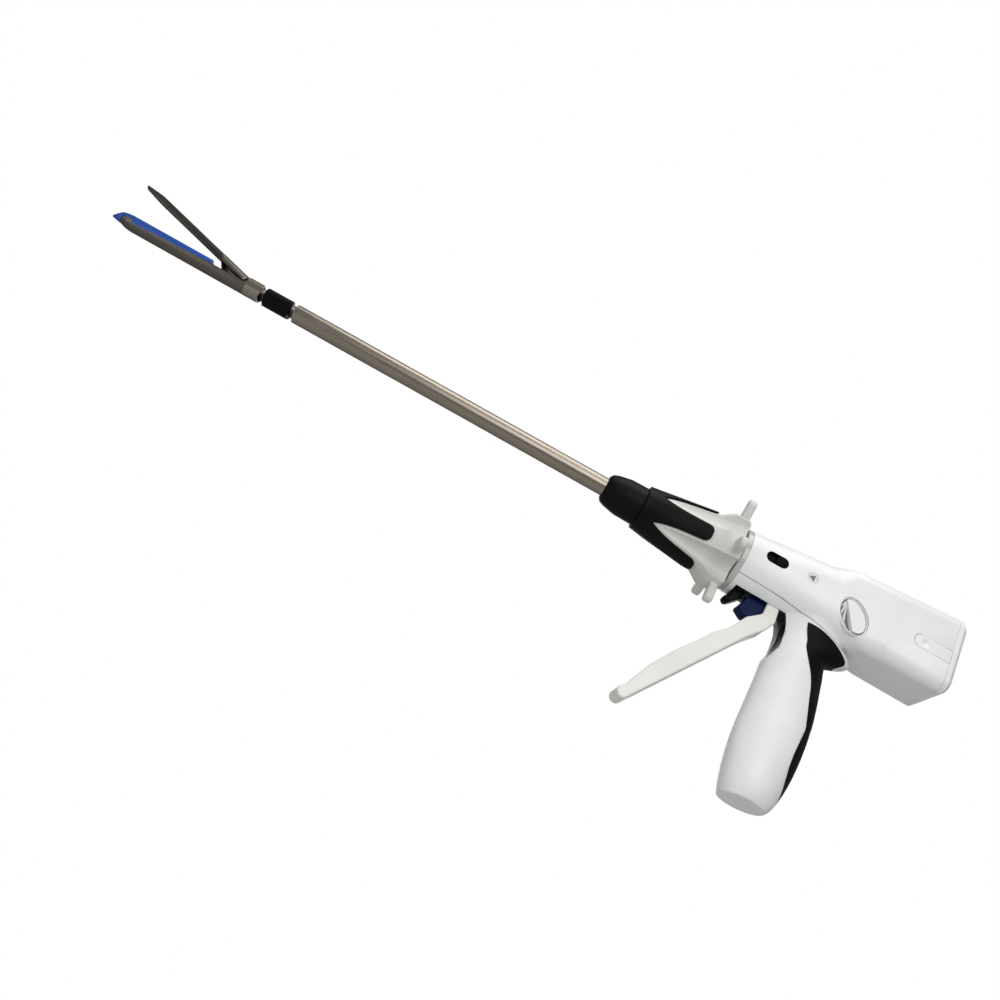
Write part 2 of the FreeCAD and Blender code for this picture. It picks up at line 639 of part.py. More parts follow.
def cover(phase):
    """Black cover: a round nose at the front and five fingers along the ridges."""
    nose = turned("cover_profile", [
        ("-nose_depth", "shaft_radius - spigot_step"),
        ("-nose_depth", "knob_front_radius"),
        ("-nose_depth + 0.8", "knob_front_radius"),
        ("-nose_depth + 1.8", "nose_radius"),
        ("-nose_depth + 14", "nose_radius - 0.2"),
        ("-5", "nose_radius - 1.9"),
        ("-1.6", "nose_radius - 3.2"),
        ("0", "nose_radius - 5.2"),
        ("0", "shaft_radius - spigot_step"),
    ])
    skin = turned("skin_profile", [
        ("-nose_depth", "knob_front_radius - cover_wall"),
        ("-nose_depth", "knob_front_radius"),
        ("-knob_length + 19", "knob_rear_radius"),
        ("-knob_length + 19", "knob_rear_radius - cover_wall"),
    ])
    doc.recompute()
    front, rear = -size("nose_depth"), -size("knob_length") + 21.5
    top = 2 * size("knob_rear_radius")
    reach = rear + 4 - front
    flare = [(-5.5, 10.3), (-10.5, 8.8), (-17, 7.4), (-27, 6.3), (reach + 2, 5.7), (reach, 5.6)]
    sides, corners = [], []
    for sign in (1, -1):
        side = Part.BSplineCurve()
        side.interpolate([Vector(front + x, sign * y, 0) for x, y in flare])
        sides.append(side)
        corners.append(Part.Arc(side.EndPoint, Vector(rear + 1.2, sign * 4.4, 0), Vector(rear, sign * 1.6, 0)))
    left, right = sides
    mouth = [Vector(front + 1, left.StartPoint.y, 0), Vector(front + 1, right.StartPoint.y, 0)]
    finger = Part.Wire(Part.__sortEdges__([
        left.toShape(), corners[0].toShape(), Part.LineSegment(corners[0].EndPoint, corners[1].EndPoint).toShape(),
        corners[1].toShape(), right.toShape(), Part.LineSegment(right.StartPoint, mouth[1]).toShape(),
        Part.LineSegment(mouth[1], mouth[0]).toShape(), Part.LineSegment(mouth[0], left.StartPoint).toShape(),
    ]))
    prism = Part.Face(finger).extrude(Vector(0, 0, top))
    fingers = [skin.Shape.common(copy) for copy in around(RIDGES, phase, prism)]
    shape = nose.Shape.copy()
    for finger_solid in fingers:
        shape = shape.fuse(finger_solid)
    for scoop in around(RIDGES, phase + 180 / RIDGES, valley_shape()):
        shape = shape.cut(scoop)
    keep("knob_cover", made("cover", shape.removeSplitter()))


def section(x, lean, half, top, bottom, corner):
    """Rounded rectangle across the housing. Its plane leans forward with height."""
    corner = min(corner, half - 0.05, (top - bottom) / 2 - 0.05)
    points = []
    for cy, cz, start in ((half - corner, top - corner, 0), (-half + corner, top - corner, 90),
                          (-half + corner, bottom + corner, 180), (half - corner, bottom + corner, 270)):
        arc = [Vector(0, cy + corner * math.cos(math.radians(start + turn)), cz + corner * math.sin(math.radians(start + turn)))
               for turn in (0, 45, 90)]
        points.append(arc)
    edges = []
    for number, arc in enumerate(points):
        edges.append(Part.Arc(*arc).toShape())
        edges.append(Part.LineSegment(arc[2], points[(number + 1) % 4][0]).toShape())
    wire = Part.Wire(edges)
    shear = FreeCAD.Matrix(1, 0, lean, x, 0, 1, 0, 0, 0, 0, 1, 0, 0, 0, 0, 1)
    return wire.transformGeometry(shear)


def barrel_solid(inset):
    """The housing's outside, or its inside when inset by the wall."""
    front, end = size("barrel_front"), size("barrel_end")
    radius, half = size("barrel_radius") - inset, size("housing_half") - inset
    rise = (size("housing_top") - size("barrel_radius")) / (size("barrel_front") - size("housing_end"))
    lean = size("flare_lean")

    def top(x):
        return size("barrel_radius") + rise * (front - x) - inset

    foot = size("housing_bottom") + inset
    flare = end - size("flare_length")
    sections = [
        section(front, 0, radius, radius, -radius, radius),
        section(end, lean, radius + 0.4, top(end), -radius, radius - 4),
        section(flare, lean, half, top(flare), foot, size("housing_corner") + 2 - inset),
        section(size("housing_end"), 0, half, top(size("housing_end")), foot, size("housing_corner") - inset),
    ]
    return Part.makeLoft(sections, True, True)


# Grip stations: height, front and rear edge from the knob's rear, and half width. The first ones blend into the barrel.
GRIP = [
    (-13, -37.5, -88.0, 18.6),
    (-19, -38.6, -89.5, 16.6),
    (-26, -40.6, -90.5, 15.0),
    (-35, -41.8, -92.3, 14.5),
    (-42, -42.5, -87.5, 14.4),
    (-49, -42.9, -83.0, 14.4),
    (-60, -43.0, -83.4, 14.8),
    (-78, -42.6, -86.6, 15.6),
    (-97, -42.0, -89.3, 16.4),
    (-115, -42.6, -88.0, 16.8),
    (-131, -44.6, -83.4, 16.4),
]


def grip_solid(inset):
    """The grip's outside, or its inside when inset by the wall."""
    wires = []
    foot = size("grip_end") + inset
    stations = GRIP + [(foot, -47.2, -77.4, 13.6)]
    for z, front, rear, half in stations:
        centre = Vector((front + rear) / 2 - size("knob_length"), 0, z)
        long_half, short_half = (front - rear) / 2 - inset, half - inset
        ellipse = Part.Ellipse(centre, long_half, short_half)
        wires.append(Part.Wire(ellipse.toShape()))
    return Part.makeLoft(wires, True, False)


def seam_cutter():
    """Everything below the seam between the barrel and the grip shells."""
    far, low = 60, -200
    seam = Part.BSplineCurve()
    line = [(14, -14.6), (-26, -15.8), (-53, -18.3), (-81, -24), (-121, -35)]
    seam.interpolate([Vector(x - size("knob_length"), -far, z) for x, z in line])
    start, end = seam.StartPoint, seam.EndPoint
    wire = Part.Wire([
        seam.toShape(),
        Part.LineSegment(end, Vector(end.x, -far, low)).toShape(),
        Part.LineSegment(Vector(end.x, -far, low), Vector(start.x, -far, low)).toShape(),
        Part.LineSegment(Vector(start.x, -far, low), start).toShape(),
    ])
    return Part.Face(wire).extrude(Vector(0, 2 * far, 0))


def pad_cutter():
    """Outline of the black pad on the back of the grip, through the whole width."""
    far = 60
    back = -size("knob_length")
    front_line = [(-57, -21.5), (-59, -29), (-65, -40), (-70, -52), (-76, -70), (-79.6, -95), (-79.4, -116), (-82, -134)]
    top_line = [(-57, -21.5), (-66, -21.9), (-78, -25), (-88, -31), (-96, -38)]
    edge, top = Part.BSplineCurve(), Part.BSplineCurve()
    edge.interpolate([Vector(back + x, -far, z) for x, z in front_line])
    top.interpolate([Vector(back + x, -far, z) for x, z in top_line])
    corner, low = Vector(back - 106, -far, -38), Vector(back - 106, -far, -134)
    wire = Part.Wire([
        top.toShape(),
        Part.LineSegment(top.EndPoint, corner).toShape(),
        Part.LineSegment(corner, low).toShape(),
        Part.LineSegment(low, edge.EndPoint).toShape(),
        edge.toShape(),
    ])
    return Part.Face(Part.Wire(Part.__sortEdges__(wire.Edges))).extrude(Vector(0, 2 * far, 0))


# Screws from the right: place behind the knob and height.
SCREWS = [(-58, -72), (-64, -120), (-103, -15.7), (-103, 21)]


def across(radius, low, high, x, z):
    """A cylinder across the housing."""
    return Part.makeCylinder(radius, high - low, Vector(x, low, z), Vector(0, 1, 0))


def ellipse_prism(long_half, short_half, low, high):
    """An upright prism of the release button's oval, between two widths."""
    centre = Vector(size("release_x"), low, size("release_z"))
    oval = Part.Ellipse(Vector(0, 0, 0), long_half, short_half).toShape()
    face = Part.Face(Part.Wire(oval))
    face.rotate(Vector(0, 0, 0), Vector(1, 0, 0), 90)
    face.rotate(Vector(0, 0, 0), Vector(0, 1, 0), -size("release_angle"))
    face.translate(centre)
    return face.extrude(Vector(0, high - low, 0))


def stadium(length, height, low, high, x, z):
    """A prism of a long oval across the housing."""
    radius = height / 2
    reach = length / 2 - radius
    middle = Part.makeBox(2 * reach, high - low, height, Vector(x - reach, low, z - radius))
    return middle.fuse([across(radius, low, high, x - reach, z), across(radius, low, high, x + reach, z)])


def throat_shape(grow):
    """Slot for the triggers, with a foot that runs out to the front of the grip. grow moves its rear wall back."""
    rear, foot, half = size("throat_rear") - grow, size("throat_foot"), size("throat_half")
    front = size("throat_front")
    profile = [(front, -11), (front, foot - 4), (rear + 9.5, foot - 4 - grow), (rear + 4.5, foot + 3.5 - grow),
               (rear + 1.2, foot + 12 - grow), (rear, foot + 20), (rear, -11)]
    points = [Vector(x, -half, z) for x, z in profile]
    return Part.Face(Part.makePolygon(points + points[:1])).extrude(Vector(0, 2 * half, 0))


def housing():
    """Four moulded shells, the black pad, and the pieces that sit in their windows."""
    wall = size("housing_wall")
    outside = barrel_solid(0).fuse(grip_solid(0))
    barrel_room, grip_room = barrel_solid(wall), grip_solid(wall)
    room = barrel_room.fuse(grip_room)
    half = size("housing_half")
    throat = throat_shape(0)
    skin = outside.cut(room)
    bosses = []
    back = -size("knob_length")
    screws = [(back + x, z) for x, z in SCREWS]
    for x, z in screws:
        bosses.append(across(3.4, -half, half, x, z))
    for x, z in ((size("trigger_x"), size("trigger_z")), (size("lock_x"), size("lock_z"))):
        reach = size("throat_half") + 0.3
        bosses.append(across(3.6, reach, half, x, z))
        bosses.append(across(3.6, -half, -reach, x, z))
    bosses = [boss.common(outside) for boss in bosses]
    skin = skin.fuse(bosses).cut(throat)
    pad_region = pad_cutter()
    lower_only = seam_cutter()
    pad = outside.cut(room).cut(barrel_solid(0)).common(pad_region)
    keep("rear_grip_pad", made("pad", pad))
    skin = skin.cut(pad_region.cut(barrel_solid(0)))
    holes = [across(size("trigger_pin_radius"), -12.2, 12.2, size("trigger_x"), size("trigger_z")),
             across(1.2, -11.2, 11.2, size("lock_x"), size("lock_z")),
             across(size("lamp_radius + fit_gap"), 10, 40, size("lamp_x"), size("lamp_z")),
             stadium(size("switch_length"), size("switch_height"), 10, 40, size("switch_x"), size("switch_z")),
             ellipse_prism(size("release_long"), size("release_short"), 12, 40),
             ellipse_prism(size("release_long"), size("release_short"), -40, -12)]
    for side in (1, -1):
        holes.append(tongue_shape(side, 0.35))
    for x, z in screws:
        holes.append(across(1.3, -13, 9, x, z))
        holes.append(across(2.9, -40, -13, x, z))
    for hole in holes:
        skin = skin.cut(hole)
    lower = skin.common(lower_only)
    upper = skin.cut(lower_only)
    for name, part in (("barrel_shell", upper), ("grip_shell", lower)):
        for side, y in (("left", 0), ("right", -100)):
            piece = part.common(Part.makeBox(400, 100, 400, Vector(-300, y, -200)))
            keep(f"{name}_{side}", made(f"{name}_{side}_shape", main_solid(piece)))
    fittings()


def main_solid(shape):
    """The largest solid of a shape, without slivers cut loose."""
    return max(shape.Solids, key=lambda solid: solid.Volume)


def tongue_shape(side, gap):
    """Release tongue of the battery, or the window around it."""
    length, height = size("tongue_length") + gap, size("tongue_height") + 2 * gap
    half, x_end, z = size("housing_half"), size("housing_end"), size("tongue_z")
    radius = height / 2 - 0.01
    outer, inner = half + (2 if gap else 0), half - size("housing_wall") - (2 if gap else 0)
    low, high = (inner, outer) if side > 0 else (-outer, -inner)
    straight = Part.makeBox(length - radius + (1 if gap else 0), high - low, height,
                            Vector(x_end - (1 if gap else 0), low, z - height / 2))
    tongue = straight.fuse(across(radius, low, high, x_end + length - radius, z))
    if gap:
        return tongue
    dimple = Part.makeSphere(5, Vector(x_end + length - 8, side * (half + 4.2), z))
    return tongue.cut(dimple)


def fittings():
    """Collar, throat liner, lamp, switch, release button, pins and screws."""
    keep("front_collar", turned("collar_profile", [
        ("-knob_length - 0.4", "hub_radius + fit_gap"),
        ("-knob_length - 0.4", "barrel_radius - 0.6"),
        ("-knob_length - 1.0", "barrel_radius"),
        ("barrel_front", "barrel_radius"),
        ("barrel_front", "barrel_radius - housing_wall - 0.1"),
        ("barrel_front - 3", "barrel_radius - housing_wall - 0.1"),
        ("barrel_front - 3", "hub_radius + fit_gap"),
    ]))
    grown = throat_shape(1.2).cut(throat_shape(0))
    below = Part.makeBox(200, 60, 60, Vector(size("throat_rear") - 100, -30, -84))
    room = grip_solid(size("housing_wall + 0.05"))
    keep("throat_liner", made("liner", grown.common(below).common(room)))
    lamp = made("lamp", across(size("lamp_radius"), 19.4, 22.2, size("lamp_x"), size("lamp_z")))
    keep("status_lamp", lamp)
    outer = stadium(size("switch_length - 0.1"), size("switch_height - 0.1"), 17.6, 21.9, size("switch_x"), size("switch_z"))
    inner = stadium(size("switch_length - 1.6"), size("switch_height - 1.6"), 19, 23, size("switch_x"), size("switch_z"))
    keep("switch_frame", made("frame", outer.cut(inner)))
    rest = size("switch_x - switch_travel/2 + 0.1")
    slider = stadium(size("switch_length - 2.2 - switch_travel"), size("switch_height - 2.2"), 19.2, 22.4, rest, size("switch_z"))
    for number in range(4):
        x = rest - 2.4 + 1.6 * number
        slider = slider.cut(Part.makeBox(0.6, 1, 10, Vector(x - 0.3, 21.9, size("switch_z") - 5)))
    keep("reverse_switch", made("slider", slider))
    release()
    reach = "11.6"
    keep("trigger_pin", rod("trigger_pin_rod", "y", "trigger_pin_radius - 0.01", f"-{reach}", reach, "trigger_x", "trigger_z"))
    keep("lock_pin", rod("lock_pin_rod", "y", "1.19", "-10.8", "10.8", "lock_x", "lock_z"))
    screws = []
    for x, z in [(-size("knob_length") + x, z) for x, z in SCREWS]:
        head = across(2.7, -15.2, -13.05, x, z).cut(across(1.1, -16, -14.2, x, z))
        screws.append(head.fuse(across(1.25, -13.05, 8, x, z)))
    keep("housing_screws", made("screws", Part.makeCompound(screws)))


def well_prism(points, low, high):
    """A prism across the handle whose corners are places along and across the release well."""
    angle = math.radians(size("release_angle"))
    corners = []
    for along, over in points:
        x = size("release_x") + along * math.cos(angle) + over * math.sin(angle)
        z = size("release_z") + along * math.sin(angle) - over * math.cos(angle)
        corners.append(Vector(x, low, z))
    return Part.Face(Part.makePolygon(corners + corners[:1])).extrude(Vector(0, high - low, 0))


def release_pad(side):
    """Release button: a thin oval base, a raised paddle on one half, and fanned ribs on the other."""
    rim = size("release_gap") + 0.9
    long_half, short_half = size("release_long") - rim, size("release_short") - rim

    def span(low, high):
        return (low, high) if side > 0 else (-high, -low)

    base = ellipse_prism(long_half, short_half, *span(18.6, 19.9))
    whole = ellipse_prism(long_half, short_half, *span(18.6, 23.2))
    half = well_prism([(15, 0.4), (-8, 4.8), (-16, 5.5), (-16, -12), (15, -12)], *span(18.6, 23.2))
    slope = well_prism([(15, -1.5), (-16, 1.5), (-16, -12), (15, -12)], *span(22.3, 24))
    pieces_here = [base, half.common(whole).cut(slope)]
    for along, over in ((6, 9), (1, 10), (-4, 9)):
        length = math.hypot(along - 11, over)
        dx, dy = 0.45 * over / length, 0.45 * (11 - along) / length
        rib = well_prism([(11 + dx, dy), (along + dx, over + dy), (along - dx, over - dy), (11 - dx, -dy)], *span(18.6, 21.6))
        pieces_here.append(rib.common(whole))
    return pieces_here[0].fuse(pieces_here[1:]).removeSplitter()


def release():
    """Oval wells in both sides, and the button pads that a bar joins across the handle."""
    long_half, short_half, gap = size("release_long"), size("release_short"), size("release_gap")
    bar_x, bar_z = size("release_x - 3.6"), size("release_z - 8.1")
    pads = []
    for name, side in (("left", 1), ("right", -1)):
        low, high = (14.6, 21.2) if side > 0 else (-21.2, -14.6)
        cup = ellipse_prism(long_half - 0.05, short_half - 0.05, low, high)
        well_low, well_high = (15.8, 22) if side > 0 else (-22, -15.8)
        cup = cup.cut(ellipse_prism(long_half - 0.9, short_half - 0.9, well_low, well_high))
        cup = cup.cut(across(size("bar_radius") + 0.35, -30, 30, bar_x, bar_z))
        keep(f"release_well_{name}", made(f"well_{name}", cup))
        keep(f"release_button_{name}", made(f"pad_{name}", release_pad(side)))
    keep("release_bar", made("bar", across(size("bar_radius"), -18.6, 18.6, bar_x, bar_z)))


def triggers():
    """Closing trigger with its fork, firing trigger and trigger lock."""
    arm = [
        ("trigger_x + 3.9", "trigger_z - 2"), ("trigger_x + 4.4", "trigger_z - 12.4"),
        ("trigger_x + 13.4", "trigger_z - 19.9"), ("trigger_x + 20", "trigger_z - 31.5"),
        ("trigger_x + 8.6", "trigger_z - 32.6"), ("trigger_x - 0.9", "trigger_z - 21.9"),
        ("trigger_x - 5.2", "trigger_z - 14.5"), ("trigger_x - 4.3", "trigger_z - 1"),
    ]
    arms = cut_plate("fork_outline", arm, "2*trigger_half")
    boss = rod("fork_boss", "y", "4.5", "-trigger_half", "trigger_half", "trigger_x", "trigger_z")
    lever = cut_plate("lever_outline", [
        ("trigger_x + 20", "trigger_z - 31.5"), ("trigger_x + 29.5", "trigger_z - 41.1"),
        ("trigger_x + 35.7", "trigger_z - 50.2"), ("trigger_x + 44.5", "trigger_z - 61"),
        ("trigger_x + 56.1", "trigger_z - 78.8"), ("trigger_x + 64.5", "trigger_z - 97"),
        ("trigger_x + 70.5", "trigger_z - 103.4"), ("trigger_x + 64", "trigger_z - 109.4"),
        ("trigger_x + 8.6", "trigger_z - 32.6"),
    ], "2*trigger_half")
    gap = rod("fork_room", "y", "27", "-fork_gap", "fork_gap", "trigger_x", "trigger_z")
    hollow = cut_plate("lever_hollow", [
        ("trigger_x + 14", "trigger_z - 37"), ("trigger_x + 40", "trigger_z - 67"),
        ("trigger_x + 60.5", "trigger_z - 101"), ("trigger_x + 56", "trigger_z - 104"),
        ("trigger_x + 4", "trigger_z - 34"),
    ], "2*fork_gap")
    bore = rod("trigger_bore", "y", "trigger_pin_radius + fit_gap", "-12", "12", "trigger_x", "trigger_z")
    soft_lever = smoothed("lever_soft", joined("trigger_whole", arms, boss, lever), "4", "1.3")
    keep("closing_trigger", without("closing_trigger_cut", soft_lever, gap, hollow, bore))
    blade = cut_plate("blade_outline", [
        ("trigger_x + 16.4", "trigger_z - 4.5"), ("trigger_x + 18.2", "trigger_z - 11"),
        ("trigger_x + 20.6", "trigger_z - 14"), ("trigger_x + 13.5", "trigger_z - 18.6"),
        ("trigger_x + 8.3", "trigger_z - 16.6"), ("trigger_x - 2.5", "trigger_z - 8.5"),
        ("trigger_x - 3.6", "trigger_z"), ("trigger_x + 2", "trigger_z + 3.6"),
    ], "2*blade_half")
    hub = rod("blade_hub", "y", "4.2", "-blade_half", "blade_half", "trigger_x", "trigger_z")
    soft_blade = smoothed("blade_soft", blade, "1.6", "0.7")
    keep("firing_trigger", without("firing_trigger_cut", joined("blade_whole", soft_blade, hub),
                                   rod("blade_bore", "y", "trigger_pin_radius + fit_gap", "-12", "12", "trigger_x", "trigger_z")))
    lobe = rod("lock_lobe", "y", "4", "-4", "4", "lock_x", "lock_z - 3")
    toe = rod("lock_toe", "y", "2.6", "-4", "4", "lock_x + 4.8", "lock_z - 10.1")
    shank = cut_plate("lock_shank", [
        ("lock_x - 3.7", "lock_z - 5.2"), ("lock_x + 2.6", "lock_z - 11.5"), ("lock_x + 7", "lock_z - 9.6"),
        ("lock_x + 2.4", "lock_z - 1.2"),
    ], "8")
    keep("trigger_lock", without("lock_cut", joined("lock_whole", lobe, toe, shank),
                                 rod("lock_bore", "y", "1.25", "-12", "12", "lock_x", "lock_z")))


def drive():
    """Motor, gearbox, lead screw and drive tube on the shaft axis, with the frame and the board."""
    nose = "(motor_rear + motor_length)"
    can = rod("motor_can", "x", "motor_radius", "motor_rear", nose)
    boss = rod("motor_boss", "x", "3.5", "motor_rear - 1.2", "motor_rear")
    keep("drive_motor", joined("motor", can, boss))
    front = f"({nose} + gearbox_length)"
    keep("gearbox", joined("gear_case", rod("gear_can", "x", "motor_radius", nose, f"{front} - 3"),
                           rod("gear_nose", "x", "5.3", f"{front} - 3", front)))
    keep("lead_screw", rod("screw", "x", "screw_radius", f"{front} + 0.3", f"{front} + screw_length"))
    start = f"({front} + 6)"
    tube = rod("drive_out", "x", "drive_radius", start, "-knob_length + 66")
    nut = rod("drive_nut", "x", "5", start, f"{start} + 10")
    bore = rod("drive_bore", "x", "screw_radius + 0.2", f"{start} - 1", "-knob_length + 60")
    keep("drive_tube", without("drive", joined("drive_whole", tube, nut), bore))
    keep("firing_rod", rod("firing", "x", "2", "-knob_length + 66", "shaft_length - plug_length - stroke - 17"))
    disc_front = rod("frame_front", "x", "barrel_radius - housing_wall - 0.5", "barrel_front - 9.3", "barrel_front - 5.8")
    disc_rear = rod("frame_rear", "x", "barrel_radius - housing_wall - 0.5", f"{front} - 2.9", front)
    deck = block("frame_deck", (f"{front} - 1", "barrel_front - 7.8"), ("-11", "11"), ("11.5", "13.5"))
    low = block("frame_low", ("barrel_front - 72", "barrel_front + 8"), ("-30", "30"), ("-30", "-8.6"))
    opening = rod("frame_bore", "x", "5.4", "barrel_front - 72", "barrel_front + 8")
    keep("inner_frame", without("frame_cut", joined("frame_whole", disc_front, disc_rear, deck), low, opening))
    keep("circuit_board", block("board", (f"{front} + 2", "barrel_front - 11.8"), ("-11", "11"), ("13.5", "15.1")))


def battery():
    """Battery pack: a chamfered rear cap with the cell block, and a spring tongue on each side."""
    x_end, length = size("housing_end"), size("cap_length")
    rise = (size("housing_top") - size("barrel_radius")) / (size("barrel_front") - size("housing_end"))
    half, foot = size("housing_half"), size("housing_bottom")
    chamfer, corner = size("cap_chamfer"), size("housing_corner")
    top = size("housing_top")
    sections = [
        section(x_end - 0.25, 0, half, top, foot, corner),
        section(x_end - length + chamfer, 0, half, top + rise, foot, corner),
        section(x_end - length, 0, half - chamfer, top - chamfer, foot + chamfer, corner - chamfer / 2),
    ]
    cap = Part.makeLoft(sections, True, True)
    keep("battery_cap", made("cap", cap))
    room = size("housing_wall") + 0.8
    pack = section(x_end - 0.25, 0, half - 5, top - 7, foot + room, corner - room)
    cells = Part.Face(pack).extrude(Vector(size("battery_length"), 0, 0))
    lip = section(x_end - 0.25, 0, half - room, top - room, foot + room, corner - room)
    spigot = Part.Face(lip).extrude(Vector(5, 0, 0))
    for side in (1, -1):
        spigot = spigot.cut(Part.makeBox(8, 6, 14, Vector(x_end - 1, half - 5.5 if side > 0 else -half - 0.5, size("tongue_z") - 7)))
    keep("battery_cells", made("cells", cells.fuse(spigot).removeSplitter()))
    for name, side in (("left", 1), ("right", -1)):
        keep(f"battery_latch_{name}", made(f"latch_{name}", tongue_shape(side, 0)))
    plate_x = x_end + size("battery_length") + 0.3
    inset = size("housing_wall") + 0.1
    plate = section(plate_x, 0, half - inset, top - rise * 40 - inset - 3, foot + inset, corner)
    keep("contact_plate", made("contacts", Part.Face(plate).extrude(Vector(2, 0, 0))))


shaft()
neck()
jaw_base()
anvil()
knife()
knob()
housing()
triggers()
drive()
battery()
doc.recompute()

for feature in doc.Objects:
    if "Invalid" in feature.State or "Error" in feature.State:
        raise RuntimeError(f"{feature.Name} failed: {feature.State}")
for node, feature in pieces.items():
    shape = feature.Shape
    if shape.isNull() or not shape.isValid() or not shape.Solids:
        raise RuntimeError(f"{node} has no valid solid")

os.makedirs("parts", exist_ok=True)
for node, feature in pieces.items():
    feature.Shape.exportStep(f"parts/{node}.step")
    print(node, len(feature.Shape.Solids), round(feature.Shape.Volume, 1))
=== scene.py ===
import json
import math

import bmesh
import bpy
from mathutils import Matrix, Vector

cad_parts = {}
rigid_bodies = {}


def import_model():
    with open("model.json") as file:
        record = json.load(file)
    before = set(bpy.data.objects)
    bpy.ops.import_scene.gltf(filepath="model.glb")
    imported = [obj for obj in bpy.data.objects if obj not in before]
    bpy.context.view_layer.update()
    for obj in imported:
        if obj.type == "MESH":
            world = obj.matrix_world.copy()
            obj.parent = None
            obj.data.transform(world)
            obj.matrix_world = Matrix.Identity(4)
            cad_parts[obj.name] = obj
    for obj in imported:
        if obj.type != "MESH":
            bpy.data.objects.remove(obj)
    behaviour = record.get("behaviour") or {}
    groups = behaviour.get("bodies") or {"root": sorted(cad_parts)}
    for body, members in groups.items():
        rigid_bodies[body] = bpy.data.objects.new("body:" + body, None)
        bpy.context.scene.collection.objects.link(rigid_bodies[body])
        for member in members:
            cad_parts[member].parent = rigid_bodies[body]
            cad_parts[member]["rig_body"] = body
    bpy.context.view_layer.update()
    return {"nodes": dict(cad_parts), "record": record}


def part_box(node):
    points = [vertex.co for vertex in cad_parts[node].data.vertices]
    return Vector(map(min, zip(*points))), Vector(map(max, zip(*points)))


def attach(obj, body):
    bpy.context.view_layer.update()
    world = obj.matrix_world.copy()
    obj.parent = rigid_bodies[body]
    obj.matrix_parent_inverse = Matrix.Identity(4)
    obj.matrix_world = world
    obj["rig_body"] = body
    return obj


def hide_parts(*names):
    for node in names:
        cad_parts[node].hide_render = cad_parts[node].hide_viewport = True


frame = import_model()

bl_info = {
    "name": "Powered endoscopic stapler",
    "version": (1, 0, 0),
    "blender": (4, 2, 0),
    "location": "3D View > Sidebar > Stapler",
    "description": "Dresses the stapler's solids with their finishes and small forms",
    "category": "Object",
}

MM = 0.001


# Socket arithmetic

class Value:
    """A number, colour or vector that varies over a surface."""

    def __init__(self, net, socket):
        self.net = net
        self.socket = socket

    def __add__(self, other):
        return self.net.maths("ADD", self, other)

    def __radd__(self, other):
        return self.net.maths("ADD", other, self)

    def __sub__(self, other):
        return self.net.maths("SUBTRACT", self, other)

    def __rsub__(self, other):
        return self.net.maths("SUBTRACT", other, self)

    def __mul__(self, other):
        return self.net.maths("MULTIPLY", self, other)

    def __rmul__(self, other):
        return self.net.maths("MULTIPLY", other, self)

    def __truediv__(self, other):
        return self.net.maths("DIVIDE", self, other)

    def __abs__(self):
        return self.net.maths("ABSOLUTE", self)

    def output(self, name):
        """Another output of the same node."""
        return Value(self.net, self.socket.node.outputs[name])


